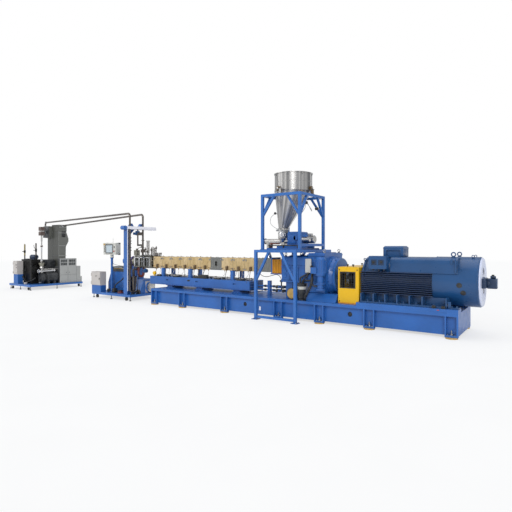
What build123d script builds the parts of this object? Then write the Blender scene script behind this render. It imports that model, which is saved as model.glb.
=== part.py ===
"""Plastic compounding extruder line with feeder, underwater pelletiser and dryer.

X runs along the line, from the dryer at the far end to the drive motor.
Y points away from the operator's side and Z is up from the floor.
The origin lies on the floor under the middle of the extruder's base frame.
All sizes are in millimetres.
"""
import os

from build123d import *

SEAT = 0.3
RUNNING_GAP = 0.3

# Base frame under barrel, gearbox and motor
BASE_LENGTH = 8000
BASE_WIDTH = 1300
DECK_HEIGHT = 450
SHAFT_RISE = 525
INPUT_HEIGHT = DECK_HEIGHT + SHAFT_RISE
DECK_THICKNESS = 20
FLANGE_DEPTH = 60
WEB_THICKNESS = 20
WEB_RECESS = 80
WEB_BOTTOM = 50
FOOT_END_INSET = 115
INNER_FEET = (-2780, -1310, 270, 1300, 2390)
FOOT_WIDTH = 220
FOOT_PLATE = 35
STIFFENER = 25
PAD_RADIUS = 105
PAD_HEIGHT = 25
ANCHOR_RADIUS = 14
ANCHOR_INSET = 45
LIFTING_HOLES = (-700, 1970)
LIFTING_RADIUS = 50
LIFTING_HEIGHT = 250
RAIL_START = 2130
RAIL_HEIGHT = 65
RAIL_WIDTH = 280

# Barrel and its supports
SCREW_HEIGHT = DECK_HEIGHT + 730
BARREL_SIDE = 330
BARREL_RIGHT = -200
FEED_MODULE_LENGTH = 437
MODULE_LENGTH = 382
MODULE_COUNT = 11
MODULE_JOINT = 8
COVER_WALL = 18
PLAIN_MODULES = (0, 4)
PORT_MODULE = 4
PORT_RADIUS = 38
PORT_SPACING = 62
PORT_DEPTH = 70
TERMINAL_WIDTH = 55
TERMINAL_HEIGHT = 100
TERMINAL_DEPTH = 40
GIRDER_LEFT = -4450
GIRDER_RIGHT = -770
GIRDER_WIDTH = 600
GIRDER_BOTTOM = DECK_HEIGHT + 90
GIRDER_TOP = GIRDER_BOTTOM + 235
PEDESTAL_PLACES = (-3700, -2550, -1250)
PEDESTAL_LENGTH = 330
PEDESTAL_WIDTH = 420
STAND_PLACES = (-3980, -2890, -1380)
STAND_SPACING = 390
STAND_POST = 90
SADDLE_THICKNESS = 20

# Lantern between barrel and gearbox
LANTERN_FLANGE = 30
LANTERN_FLANGE_SIDE = 380
LANTERN_CORE_SIDE = 260
GUARD_DEPTH = 400
GUARD_HEIGHT = 335
LOUVRE_PITCH = 40
LOUVRE_RISE = 14
LANTERN_GUARD_WALL = 6
LEDGE_THICKNESS = 20

# Gearbox
GEARBOX_LEFT = 260
GEARBOX_STEP = 950
GEARBOX_RIGHT = 1350
GEARBOX_WIDTH = 900
GEARBOX_LOW_TOP = SCREW_HEIGHT + 230
GEARBOX_HIGH_TOP = INPUT_HEIGHT + 515
GEARBOX_LOW_BOTTOM = SCREW_HEIGHT - 360
GEARBOX_HIGH_BOTTOM = INPUT_HEIGHT - 355
COLUMN_SIDE_INSET = 60
SPLIT_FLANGE = 30
SPLIT_RISE = 25
BELL_RADIUS = 440
BELL_LENGTH = 200
INPUT_BORE = 62
BELL_RIBS = 8

# Coupling and its guard
GUARD_LEFT = 1680
GUARD_RIGHT = 2130
GUARD_SIDE_DEPTH = 1000
GUARD_TOP = INPUT_HEIGHT + 235
GUARD_WALL = 8
GUARD_CORNER = 20
WINDOW_LEFT = 1735
WINDOW_RIGHT = 2040
WINDOW_BOTTOM = INPUT_HEIGHT - 185
WINDOW_TOP = INPUT_HEIGHT + 115
MESH_PITCH = 50
MESH_WIRE = 6
MESH_FRAME = 14
HUB_RADIUS = 190
HUB_LENGTH = 70
SPACER_RADIUS = 120
SHAFT_HOLE = 110

# Main motor
MOTOR_FACE = 2140
COWL_LEFT = 3520
END_BELL_DEPTH = 60
FIN_START = MOTOR_FACE + 15
MOTOR_RIGHT = 4285
MOTOR_RADIUS = 460
CORE_RADIUS = 400
FIN_PITCH = 38
FIN_THICKNESS = 12
FIN_LOW = INPUT_HEIGHT - 275
FIN_HIGH = INPUT_HEIGHT + 145
FIN_REACH = 470
BELL_CAP_RADIUS = 330
FOOT_RAIL_HEIGHT = 185
FOOT_RAIL_RIBS = (2200, 2450, 2680, 2910, 3140, 3370, 3780)
CASING_LEFT = 2750
CASING_RIGHT = 3950
CASING_WIDTH = 900
CASING_TOP = INPUT_HEIGHT + 445
CASING_ROUND = 120
TERMINAL_BOX_LEFT = 2550
TERMINAL_BOX_WIDTH = 300
TERMINAL_LID_HEIGHT = 60
TERMINAL_LID_FLARE = 28
TERMINAL_BOX_RIGHT = 2900
TERMINAL_BOX_TOP = CASING_TOP + 220
SMALL_BOX_LEFT = 2380
SMALL_BOX_RIGHT = 2730
SMALL_BOX_FRONT = 620
SMALL_BOX_DEPTH = 150
SMALL_LID_SIDE = 110
SMALL_LID_RECESS = 12
SMALL_LID_PLACES = (50, 190)
SMALL_BOX_BOTTOM = INPUT_HEIGHT + 215
SMALL_BOX_TOP = SMALL_BOX_BOTTOM + 255
END_COVER_THICKNESS = 26
END_SLOT_LENGTH = 170
END_SLOT_WIDTH = 36
END_SLOT_REACH = 270
END_SLOT_ANGLES = (-36, -12, 12, 36, 144, 168, 192, 216)
ENCODER_LENGTH = 219
ENCODER_RADIUS = 95
ENCODER_SHAFT_RADIUS = 45
ENCODER_CASE = 150
ENCODER_CASE_START = 80

# Oil pump and filter beside the gearbox
PUMP_X = 1325
PUMP_STANDOFF = 156
PUMP_Y = -GEARBOX_WIDTH / 2 - PUMP_STANDOFF
PUMP_MOTOR_RADIUS = 112
PUMP_TOP = INPUT_HEIGHT + 430
PUMP_FOOT = INPUT_HEIGHT - 265
PUMP_FLANGE = 25
PUMP_FLANGE_RISE = 120
PUMP_FINS = 14
PUMP_BOX_WIDTH = 130
PUMP_BOX_BOTTOM = INPUT_HEIGHT + 85
PUMP_BOX_HEIGHT = 130
PUMP_MOTOR_BOTTOM = INPUT_HEIGHT + 65
FILTER_X = 815
FILTER_STANDOFF = 50
FILTER_Y = -GEARBOX_WIDTH / 2 - FILTER_STANDOFF
FILTER_RADIUS = 92
FILTER_BOTTOM = DECK_HEIGHT + 30
FILTER_TOP = DECK_HEIGHT + 310
FILTER_HEAD = 55
COOLER_X = 563
COOLER_Z = DECK_HEIGHT + 130
COOLER_RADIUS = 125
COOLER_LENGTH = 124
COOLER_GAP = 6
COOLER_BACK = -(GEARBOX_WIDTH / 2 - COLUMN_SIDE_INSET) - COOLER_GAP
COOLER_FRONT = COOLER_BACK - COOLER_LENGTH
COLUMN_FOOT_INSET = 80
COLUMN_THICKNESS = 170

# Cooling water pipes beside the girder
COOLING_Y = -60
COOLING_LEVELS = (DECK_HEIGHT + 125, DECK_HEIGHT + 215)
COOLING_RADIUS = 22
COOLING_RIGHT = GEARBOX_LEFT + COLUMN_FOOT_INSET - SEAT
VALVE_X = (-30, 70)
PIPE_POST_X = -330
PIPE_POST_TOP = GIRDER_TOP + 25

# Feeder platform: lower frame on the floor, upper frame on top of it
TUBE = 60
PLATFORM_LEFT = -150
PLATFORM_RIGHT = 930
PLATFORM_FRONT = -967
PLATFORM_BACK = 750
PLATFORM_TOP = GEARBOX_HIGH_TOP + 70
LOW_RAIL_BOTTOM = 35
FOOT_PLATE_SIDE = 150
FOOT_PLATE_THICKNESS = 12
LOWER_BRACE_REACH = 360
LOWER_BRACE_DROP = 660
UPPER_RIGHT = 890
UPPER_FRONT = -700
UPPER_BACK = 490
UPPER_BRACE_REACH = 330
UPPER_BRACE_DROP = 480
SIDE_RAIL_BOTTOM = PLATFORM_TOP + 80
PLATE_TOP = PLATFORM_TOP + 40
SCALE_TOP = PLATFORM_TOP + 100

# Hopper
HOPPER_X = 355
HOPPER_Y = -80
HOPPER_RADIUS = 440
HOPPER_TOP = 3330
HOPPER_DRUM_HEIGHT = 400
HOPPER_WAIST = HOPPER_TOP - HOPPER_DRUM_HEIGHT
LOAD_CELL_HEIGHT = 100
UPPER_TOP = HOPPER_WAIST - LOAD_CELL_HEIGHT
HOPPER_OUTLET_X = 30
HOPPER_OUTLET_RADIUS = 115
HOPPER_OUTLET_Z = 2050
HOPPER_WALL = 5
LUG_WIDTH = 90
LUG_PLATE = 12
LOAD_CELL_RADIUS = 28

# Feeder
FEEDER_LEFT = 270
FEEDER_RIGHT = 590
FEEDER_HALF_WIDTH = 210
FEEDER_TOP = 1980
TROUGH_RADIUS = 125
SCREW_TUBE_Z = 1765
SCREW_TUBE_RADIUS = 58
SCREW_TUBE_LEFT = -500
TROUGH_TOP = SCREW_TUBE_Z + 180
TROUGH_WAIST = SCREW_TUBE_Z + 65
TROUGH_BOTTOM = SCREW_TUBE_Z - 25
SLEEVE_COLLAR = 15
FEEDER_BOSS_Z = SCREW_TUBE_Z + 65
CHUTE_X = -400
CHUTE_JOINT_Z = SCREW_TUBE_Z - 65
CHUTE_RADIUS = 50
FEEDER_MOTOR_Y = 60
FEEDER_MOTOR_Z = 1800
FEEDER_MOTOR_RADIUS = 92
FEEDER_MOTOR_RIGHT = 850

# Pelletiser skid
SKID_LEFT = -6930
SKID_RIGHT = -4985
SKID_FRONT = -610
SKID_BACK = 640
SKID_BOTTOM = 115
SKID_TOP = 185
SKID_SECTION = 90
SKID_FOOT_RADIUS = 32
SKID_STEM_RADIUS = 11
CASTER_RADIUS = 52
CASTER_WIDTH = 44
CABINET_WIDTH = 475
CABINET_DEPTH = 200
CABINET_SPLIT = 409
CABINET_TOP = 840
CABINET_WALL = 14
DOOR_THICKNESS = 16
DOOR_GAP = 5
HINGE_RADIUS = 9
PIN_RADIUS = 5
CONSOLE_LEFT = -6640
CONSOLE_RIGHT = -5730
CONSOLE_TOP_LEFT = -6425
CONSOLE_FRONT = -200
CONSOLE_BACK = 520
CONSOLE_TOP = 980
POST_X = -6260
POST_Y = -330
POST_RADIUS = 38
POST_TOP = 1290
NECK_RADIUS = 60
PANEL_WIDTH = 647
PANEL_DEPTH = 190
PANEL_BOTTOM = 1388
PANEL_TOP = 1760
SCREEN_WIDTH = 330
SCREEN_HEIGHT = 240
COLUMN_LEFT = -5303
COLUMN_RIGHT = -5135
COLUMN_FRONT = -600
COLUMN_BACK = -460
COLUMN_TOP = 2265
H_PLATE = 12
ARM_BOTTOM = 2165
ARM_END = 520
DROP_X = -5095
DROP_RADIUS = 28
SUPPLY_Y = -530
BYPASS_Y = -235
RETURN_Y = -39
OVERHEAD_Z = 2645
OVERHEAD_BEND = 110
BYPASS_Z = 2040
CHAMBER_LEFT = -5560
CHAMBER_RIGHT = -5340
CHAMBER_RADIUS = 168
DIE_LEFT = -5340
DIE_HALF_WIDTH = 190
DIE_PLATE = 14
DIE_WINDOWS = ((80, 230), (300, 450), (520, 690))
DIE_WINDOW_DEPTH = 55
DIVERTER_X = -4870
DIVERTER_TOP = 1830
ACCUMULATOR_X = -4700
ACCUMULATOR_TOP = 1600
CHAMBER_NECK_INSET = 90
CHAMBER_NECK_HEIGHT = 165
DIE_BOTTOM = 990
DIE_TOP = 1355
CUTTER_LEFT = -6000
CUTTER_RADIUS = 130

CARRIAGE_LEFT = -5600
CARRIAGE_RIGHT = -5060
CARRIAGE_TOP = 620
BLOWER_Y = 200
BLOWER_Z = 365
BLOWER_RADIUS = 170
WATER_POT_X = -5195
WATER_POT_Y = -330
WATER_POT_RADIUS = 110
WATER_POT_TOP = 730
PUMP_BOX_Y = -150

# Dryer skid
DRYER_LEFT = -12290
DRYER_RIGHT = -10650
DRYER_FRONT = -770
DRYER_BACK = 1380
DRYER_BOTTOM = 130
DRYER_TOP = 205
DRYER_CABINET_X = -11930
DRYER_CABINET_WIDTH = 330
DRYER_CABINET_SPLIT = 580
DRYER_CABINET_TOP = 1095
TANK_LEFT = -11860
TANK_RIGHT = -11070
TANK_FRONT = -520
TANK_BACK = -140
TANK_BOTTOM = 330
TANK_TOP = 1140
TANK_WALL = 8
MANHOLE_RADIUS = 200
MANHOLE_Z = 760
STACK_RADIUS = 22
HOUSING_LEFT = -11520
HOUSING_RIGHT = -10700
HOUSING_FRONT = 420
HOUSING_BACK = 1310
HOUSING_TOP = 860
LOUVRE_BOX_LEFT = -10850
LOUVRE_BOX_BACK = 1135
LOUVRE_BOX_TOP = 1180
LOW_BOX_BACK = 1375
LOW_BOX_TOP = 430
TOWER_LEFT = -11390
TOWER_RIGHT = -10880
TOWER_FRONT = 480
TOWER_BACK = 800
TOWER_TOP = 2540
TOWER_BAND = 260
TOWER_BAND_THICK = 6
TOWER_BULGE_Z = 1990
TOWER_BULGE = 90
HOOD_RADIUS = 200
HOOD_LEFT = -11840
HOOD_Z = 2250
HOOD_HALF_HEIGHT = 240
HOOD_FRONT = 350
SIDE_CASE_LEFT = -11790
PUMP_Z = 455
PUMP_FRONT = -170
PUMP_BACK = 370
PUMP_RADIUS = 195
PUMP_AXIS_X = -10860
DRUM_LEFT = -11500
DRUM_RIGHT = -11065
DRUM_FRONT = 95
DRUM_TOP = 1140
RISER_TOP = 1860
RISER_VALVE_BOTTOM = 2080
RISER_VALVE_TOP = 2420
RISER_VALVE_SIDE = 120

# Overhead pipes between the skids
SUPPLY_END_X = -11760
SUPPLY_END_Y = 400
RETURN_END_Y = 640
RETURN_END_Z = 2500
OVERHEAD_RADIUS = 30


def block(x0, x1, y0, y1, z0, z1):
    """Rectangular block between two corners."""
    centre = Pos((x0 + x1) / 2, (y0 + y1) / 2, (z0 + z1) / 2)
    return centre * Box(x1 - x0, y1 - y0, z1 - z0)


def rod_x(radius, x0, x1, y, z):
    """Round bar along X."""
    return Pos((x0 + x1) / 2, y, z) * Rot(0, 90, 0) * Cylinder(radius, x1 - x0)


def rod_y(radius, y0, y1, x, z):
    """Round bar along Y."""
    return Pos(x, (y0 + y1) / 2, z) * Rot(90, 0, 0) * Cylinder(radius, y1 - y0)


def rod_z(radius, z0, z1, x, y):
    """Round bar along Z."""
    return Pos(x, y, (z0 + z1) / 2) * Cylinder(radius, z1 - z0)


def cone_z(low_radius, high_radius, z0, z1, x, y):
    """Round taper along Z."""
    return Pos(x, y, (z0 + z1) / 2) * Cone(low_radius, high_radius, z1 - z0)


def bar(start, end, side, across):
    """Square bar between two points, with one pair of faces square to across."""
    direction = Vector(*end) - Vector(*start)
    section = Plane(origin=start, x_dir=across, z_dir=direction) * Rectangle(side, side)
    return extrude(section, direction.length)


def pipe(points, radius, bend):
    """Round pipe through the points, with arcs of one bend radius."""
    route = FilletPolyline(*points, radius=bend)
    section = Plane(origin=route @ 0, z_dir=route % 0) * Circle(radius)
    return sweep(section, path=route)


def profile_y(points, y0, y1):
    """Prism along Y of an outline given as X and Z pairs."""
    outline = make_face(Polyline(*[(x, y0, z) for x, z in points], close=True))
    return extrude(outline, y1 - y0, dir=(0, 1, 0))


def profile_x(points, x0, x1):
    """Prism along X of an outline given as Y and Z pairs."""
    outline = make_face(Polyline(*[(x0, y, z) for y, z in points], close=True))
    return extrude(outline, x1 - x0, dir=(1, 0, 0))


def group(pieces):
    """Like pieces that share a node without touching."""
    return Compound(children=list(pieces))


def foot_places():
    """X places of the feet along the base frame."""
    end = BASE_LENGTH / 2 - FOOT_END_INSET
    return (-end,) + INNER_FEET + (end,)


def base_foot(x, side):
    """Bracket with two stiffeners and a foot plate, in the recess of the web."""
    web_face = BASE_WIDTH / 2 - WEB_RECESS
    outer = BASE_WIDTH / 2
    y0, y1 = sorted((side * web_face, side * outer))
    under = DECK_HEIGHT - FLANGE_DEPTH
    half = FOOT_WIDTH / 2
    foot = block(x - half, x + half, y0, y1, PAD_HEIGHT, PAD_HEIGHT + FOOT_PLATE)
    for edge in (x - half, x + half - STIFFENER):
        foot += block(edge, edge + STIFFENER, y0, y1, PAD_HEIGHT, under)
    return foot


def anchor_hole(x, side):
    """Drill for the anchor bolt of one foot."""
    y = side * (BASE_WIDTH / 2 - ANCHOR_INSET)
    return rod_z(ANCHOR_RADIUS, -1, PAD_HEIGHT + FOOT_PLATE + 1, x, y)


def base_frame():
    """Welded frame: deck, recessed webs, cross ribs, feet brackets, and the motor rails on it."""
    half_length = BASE_LENGTH / 2
    half_width = BASE_WIDTH / 2
    web_face = half_width - WEB_RECESS
    under = DECK_HEIGHT - FLANGE_DEPTH
    frame = block(-half_length, half_length, -half_width, half_width, under, DECK_HEIGHT)
    frame -= block(-half_length + WEB_THICKNESS, half_length - WEB_THICKNESS,
                   -web_face + WEB_THICKNESS, web_face - WEB_THICKNESS,
                   under - 1, DECK_HEIGHT - DECK_THICKNESS)
    for side in (-1, 1):
        y0, y1 = sorted((side * web_face, side * (web_face - WEB_THICKNESS)))
        frame += block(-half_length, half_length, y0, y1, WEB_BOTTOM, under)
    for x in (-half_length, half_length - WEB_THICKNESS):
        frame += block(x, x + WEB_THICKNESS, -half_width, half_width, WEB_BOTTOM, under)
    inner = web_face - WEB_THICKNESS
    for x in INNER_FEET:
        frame += block(x - WEB_THICKNESS / 2, x + WEB_THICKNESS / 2, -inner, inner,
                       WEB_BOTTOM, DECK_HEIGHT - DECK_THICKNESS)
    for side in (-1, 1):
        for x in foot_places():
            frame += base_foot(x, side)
        for x in foot_places():
            frame -= anchor_hole(x, side)
        y0, y1 = sorted((side * half_width, side * (inner - 1)))
        for x in LIFTING_HOLES:
            frame -= rod_y(LIFTING_RADIUS, y0, y1, x, LIFTING_HEIGHT)
    rails = []
    for side in (-1, 1):
        y0, y1 = sorted((side * half_width, side * (half_width - RAIL_WIDTH)))
        rails.append(block(RAIL_START, half_length, y0, y1, DECK_HEIGHT, DECK_HEIGHT + RAIL_HEIGHT))
    return group([frame] + rails)


def levelling_pads():
    """Round bronze pads under the feet."""
    pads = []
    for side in (-1, 1):
        for x in foot_places():
            pad = rod_z(PAD_RADIUS, 0, PAD_HEIGHT, x, side * (BASE_WIDTH / 2 - ANCHOR_INSET))
            pads.append(pad - anchor_hole(x, side))
    return group(pads)


def module_span(index):
    """Left and right end of a barrel module, counted from the gearbox."""
    if index == 0:
        return BARREL_RIGHT - FEED_MODULE_LENGTH, BARREL_RIGHT
    right = BARREL_RIGHT - FEED_MODULE_LENGTH - (index - 1) * MODULE_LENGTH
    return right - MODULE_LENGTH, right


def barrel_left():
    """Left end of the last barrel module."""
    return module_span(MODULE_COUNT - 1)[0]


def barrel_shell(index):
    """Square insulated cover round one heated module."""
    left, right = module_span(index)
    half = BARREL_SIDE / 2
    inner = half - COVER_WALL
    x0 = left + MODULE_JOINT / 2
    x1 = right - MODULE_JOINT / 2
    shell = block(x0, x1, -half, half, SCREW_HEIGHT - half, SCREW_HEIGHT + half)
    shell = chamfer(shell.edges().filter_by(Axis.X), 10)
    return shell - block(x0 - 1, x1 + 1, -inner, inner, SCREW_HEIGHT - inner, SCREW_HEIGHT + inner)


def heated_modules():
    """Numbers of the modules that wear covers."""
    return [i for i in range(MODULE_COUNT) if i not in PLAIN_MODULES]


def barrel_covers():
    """Covers of all heated modules."""
    return group(barrel_shell(i) for i in heated_modules())


def bare_module(index):
    """Full-size steel module without a cover."""
    left, right = module_span(index)
    half = BARREL_SIDE / 2
    body = block(left, right, -half, half, SCREW_HEIGHT - half, SCREW_HEIGHT + half)
    return chamfer(body.edges().filter_by(Axis.X), 12)


def barrel_run():
    """Bolted run of steel barrels: slimmer inside the covers, bare at feed and vent."""
    half = BARREL_SIDE / 2 - COVER_WALL - SEAT
    core = block(barrel_left(), BARREL_RIGHT, -half, half, SCREW_HEIGHT - half, SCREW_HEIGHT + half)
    for index in PLAIN_MODULES:
        core += bare_module(index)
    middle = sum(module_span(PORT_MODULE)) / 2
    front = -BARREL_SIDE / 2
    for rise in (-PORT_SPACING / 2, PORT_SPACING / 2):
        core -= rod_y(PORT_RADIUS, front - 1, front + PORT_DEPTH, middle, SCREW_HEIGHT + rise)
    return core


def heater_terminals():
    """Terminal housings low on the front of each heated module."""
    front = -BARREL_SIDE / 2
    low = SCREW_HEIGHT - BARREL_SIDE / 2
    pieces = []
    for index in heated_modules():
        left, right = module_span(index)
        x = (left + right) / 2
        half = TERMINAL_WIDTH / 2
        body = block(x - half, x + half, front - TERMINAL_DEPTH, front, low + 12,
                     low + 12 + TERMINAL_HEIGHT)
        body = chamfer(body.edges().filter_by(Axis.X).group_by(Axis.Y)[0], TERMINAL_DEPTH / 3)
        pieces.append(body)
    return group(pieces)


def support_girder():
    """Long box girder on short pedestals, which carries the barrel stands."""
    half = GIRDER_WIDTH / 2
    girder = block(GIRDER_LEFT, GIRDER_RIGHT, -half, half, GIRDER_BOTTOM, GIRDER_TOP)
    lip = FLANGE_DEPTH / 2
    girder -= block(GIRDER_LEFT - 1, GIRDER_RIGHT + 1, -half - 1, -half + 8,
                    GIRDER_BOTTOM - 1, GIRDER_BOTTOM + lip)
    slot = SlotOverall(110, 34)
    for x in PEDESTAL_PLACES:
        slot_cut = extrude(Plane.XZ.offset(half) * Pos(x, GIRDER_TOP - 90) * slot, -30, both=True)
        girder -= slot_cut
    for x in PEDESTAL_PLACES:
        half = PEDESTAL_LENGTH / 2
        y = PEDESTAL_WIDTH / 2
        post = block(x - half, x + half, -y, y, DECK_HEIGHT, GIRDER_BOTTOM)
        waist = block(x - half - 1, x - half + 60, -y - 1, y + 1, DECK_HEIGHT + 20, GIRDER_BOTTOM - 20)
        post -= waist
        post -= Pos(PEDESTAL_LENGTH - 60, 0, 0) * waist
        girder += post
    return girder


def barrel_supports():
    """Stands with a front and a rear post and a saddle under the barrel."""
    under = SCREW_HEIGHT - BARREL_SIDE / 2
    pieces = []
    for x in STAND_PLACES:
        reach = (STAND_SPACING + STAND_POST) / 2
        half = STAND_POST / 2
        stand = block(x - half, x + half, -reach, reach, under - SADDLE_THICKNESS, under)
        for side in (-1, 1):
            y = side * STAND_SPACING / 2
            stand += block(x - half, x + half, y - half, y + half, GIRDER_TOP, under)
            stand += block(x - half - 20, x + half + 20, y - half, y + half, GIRDER_TOP,
                           GIRDER_TOP + 15)
        pieces.append(stand)
    return group(pieces)


def lantern_housing():
    """Flanged lantern between the barrel and the gearbox, with a ledge under its guard."""
    half = LANTERN_FLANGE_SIDE / 2
    core = LANTERN_CORE_SIDE / 2
    body = block(BARREL_RIGHT, GEARBOX_LEFT, -core, core, SCREW_HEIGHT - core, SCREW_HEIGHT + core)
    for x in (BARREL_RIGHT, GEARBOX_LEFT - LANTERN_FLANGE):
        body += block(x, x + LANTERN_FLANGE, -half, half, SCREW_HEIGHT - half, SCREW_HEIGHT + half)
    low = SCREW_HEIGHT - half
    deep = GUARD_DEPTH / 2 + 20
    body += block(BARREL_RIGHT, GEARBOX_LEFT, -deep, deep, low - LEDGE_THICKNESS, low)
    return body


def lantern_guard():
    """Corrugated guard round the lantern, with upright louvres front and back."""
    left = BARREL_RIGHT + LANTERN_FLANGE + SEAT
    right = GEARBOX_LEFT - LANTERN_FLANGE - SEAT
    low = SCREW_HEIGHT - LANTERN_FLANGE_SIDE / 2
    count = int((right - left) // LOUVRE_PITCH)
    pitch = (right - left) / count
    outer = GUARD_DEPTH / 2
    valley = outer - LOUVRE_RISE
    front = []
    for k in range(count):
        x = left + k * pitch
        front += [(x, -valley), (x + pitch * 0.35, -outer), (x + pitch * 0.8, -outer)]
    front.append((right, -valley))
    outline = front + [(x, -y) for x, y in reversed(front)]
    face = make_face(Polyline(*[(x, y, low) for x, y in outline], close=True))
    guard = extrude(face, GUARD_HEIGHT, dir=(0, 0, 1))
    inner = valley - LANTERN_GUARD_WALL
    return guard - block(left - 1, right + 1, -inner, inner, low - 1,
                         low + GUARD_HEIGHT - LANTERN_GUARD_WALL)


def gearbox_housing():
    """Cast housing: low output part, high input part, split flange and ribs."""
    half = GEARBOX_WIDTH / 2
    low = block(GEARBOX_LEFT, GEARBOX_STEP, -half, half, GEARBOX_LOW_BOTTOM, GEARBOX_LOW_TOP)
    high = block(GEARBOX_STEP, GEARBOX_RIGHT, -half, half, GEARBOX_HIGH_BOTTOM, GEARBOX_HIGH_TOP)
    low = fillet(low.edges().filter_by(Axis.X), 30)
    high = fillet(high.edges().filter_by(Axis.X), 30)
    body = low + high
    rise = SPLIT_RISE
    for level in (SCREW_HEIGHT - SPLIT_FLANGE / 2, GEARBOX_LOW_BOTTOM + 10):
        body += block(GEARBOX_LEFT, GEARBOX_RIGHT, -half - rise, half + rise, level,
                      level + SPLIT_FLANGE)
    body += block(GEARBOX_STEP - 20, GEARBOX_RIGHT, -half - rise, half + rise,
                  GEARBOX_HIGH_TOP - 60, GEARBOX_HIGH_TOP - 30)
    for x in (GEARBOX_LEFT + 200, GEARBOX_LEFT + 420, GEARBOX_LEFT + 640):
        for side in (-1, 1):
            y0, y1 = sorted((side * half, side * (half + rise - 5)))
            body += block(x, x + 20, y0, y1, GEARBOX_LOW_BOTTOM + 20, SCREW_HEIGHT)
    return body + gearbox_bell()


def gearbox_pedestals():
    """Column under the output end and broad pedestal with a sloped front under the input end."""
    half = GEARBOX_WIDTH / 2
    left = GEARBOX_LEFT + COLUMN_FOOT_INSET
    right = left + COLUMN_THICKNESS
    side = half - COLUMN_SIDE_INSET
    column = block(left, right, -side, side, DECK_HEIGHT, GEARBOX_LOW_BOTTOM)
    column += block(left, right + 60, -side, side, DECK_HEIGHT, DECK_HEIGHT + 25)
    slope = [(-half - 120, DECK_HEIGHT), (half + 120, DECK_HEIGHT), (half, GEARBOX_HIGH_BOTTOM),
             (-half, GEARBOX_HIGH_BOTTOM)]
    right = GUARD_LEFT - 30
    broad = profile_x(slope, GEARBOX_STEP, right)
    broad -= rod_x(BELL_RADIUS + 15, GEARBOX_RIGHT - 1, right + 1, 0, INPUT_HEIGHT)
    return group([column, broad])


def gearbox_bell():
    """Round ribbed bell housing over the input shaft."""
    left = GEARBOX_RIGHT
    outline = [(left, 0), (left, BELL_RADIUS), (left + 50, BELL_RADIUS),
               (left + 60, BELL_RADIUS - 30), (left + BELL_LENGTH - 60, BELL_RADIUS - 70),
               (left + BELL_LENGTH - 50, BELL_RADIUS - 40), (left + BELL_LENGTH, BELL_RADIUS - 40),
               (left + BELL_LENGTH, 0)]
    face = make_face(Polyline(*[(x, 0, r) for x, r in outline], close=True))
    bell = Pos(0, 0, INPUT_HEIGHT) * revolve(face, Axis.X)
    for k in range(BELL_RIBS):
        rib = block(left + 30, left + BELL_LENGTH - 20, -9, 9, BELL_RADIUS - 100, BELL_RADIUS - 42)
        bell += Pos(0, 0, INPUT_HEIGHT) * Rot(360 / BELL_RIBS * (k + 0.5), 0, 0) * rib
    return bell - rod_x(INPUT_BORE, left + 80, left + BELL_LENGTH + 1, 0, INPUT_HEIGHT)


def coupling_guard():
    """Sheet guard over the coupling, open below: two faces with windows, two ends and a rounded top."""
    half = GUARD_SIDE_DEPTH / 2
    wall_face = half - GUARD_WALL
    shoulder = GUARD_TOP - GUARD_CORNER
    shell = block(GUARD_LEFT, GUARD_RIGHT, -half, half, DECK_HEIGHT, GUARD_TOP)
    shell = fillet(shell.edges().filter_by(Axis.Y).group_by(Axis.Z)[-1], GUARD_CORNER)
    inside = block(GUARD_LEFT + GUARD_WALL, GUARD_RIGHT - GUARD_WALL, -wall_face, wall_face,
                   DECK_HEIGHT - 1, GUARD_TOP - GUARD_WALL)
    inside = fillet(inside.edges().filter_by(Axis.Y).group_by(Axis.Z)[-1], GUARD_CORNER - GUARD_WALL)
    shell -= inside
    shell -= block(WINDOW_LEFT, WINDOW_RIGHT, -half - 1, half + 1, WINDOW_BOTTOM, WINDOW_TOP)
    shell -= rod_x(SHAFT_HOLE, GUARD_LEFT - 1, GUARD_RIGHT + 1, 0, INPUT_HEIGHT)
    sheets = []
    for side in (-1, 1):
        y0, y1 = sorted((side * half, side * wall_face))
        sheets.append(shell & block(GUARD_LEFT, GUARD_RIGHT, y0, y1, DECK_HEIGHT, GUARD_TOP))
    for x in (GUARD_LEFT, GUARD_RIGHT - GUARD_WALL):
        sheets.append(shell & block(x, x + GUARD_WALL, -wall_face, wall_face, DECK_HEIGHT, shoulder))
    sheets.append(shell & block(GUARD_LEFT, GUARD_RIGHT, -wall_face, wall_face, shoulder, GUARD_TOP))
    return group(sheets)


def guard_meshes():
    """Woven screens behind both windows of the coupling guard."""
    inner = GUARD_SIDE_DEPTH / 2 - GUARD_WALL
    x0, x1 = WINDOW_LEFT - 20, WINDOW_RIGHT + 20
    z0, z1 = WINDOW_BOTTOM - 20, WINDOW_TOP + 20
    screens = []
    for side in (-1, 1):
        y0, y1 = sorted((side * inner, side * (inner - MESH_WIRE)))
        screen = block(x0, x1, y0, y1, z0, z1)
        screen -= block(x0 + MESH_FRAME, x1 - MESH_FRAME, y0 - 1, y1 + 1, z0 + MESH_FRAME,
                        z1 - MESH_FRAME)
        for k in range(1, int((x1 - x0) // MESH_PITCH) + 1):
            x = x0 + k * MESH_PITCH
            screen += block(x, x + MESH_WIRE, y0, y1, z0 + 1, z1 - 1)
        for k in range(1, int((z1 - z0) // MESH_PITCH) + 1):
            z = z0 + k * MESH_PITCH
            screen += block(x0 + 1, x1 - 1, y0, y1, z, z + MESH_WIRE)
        screens.append(screen)
    return group(screens)


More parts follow.
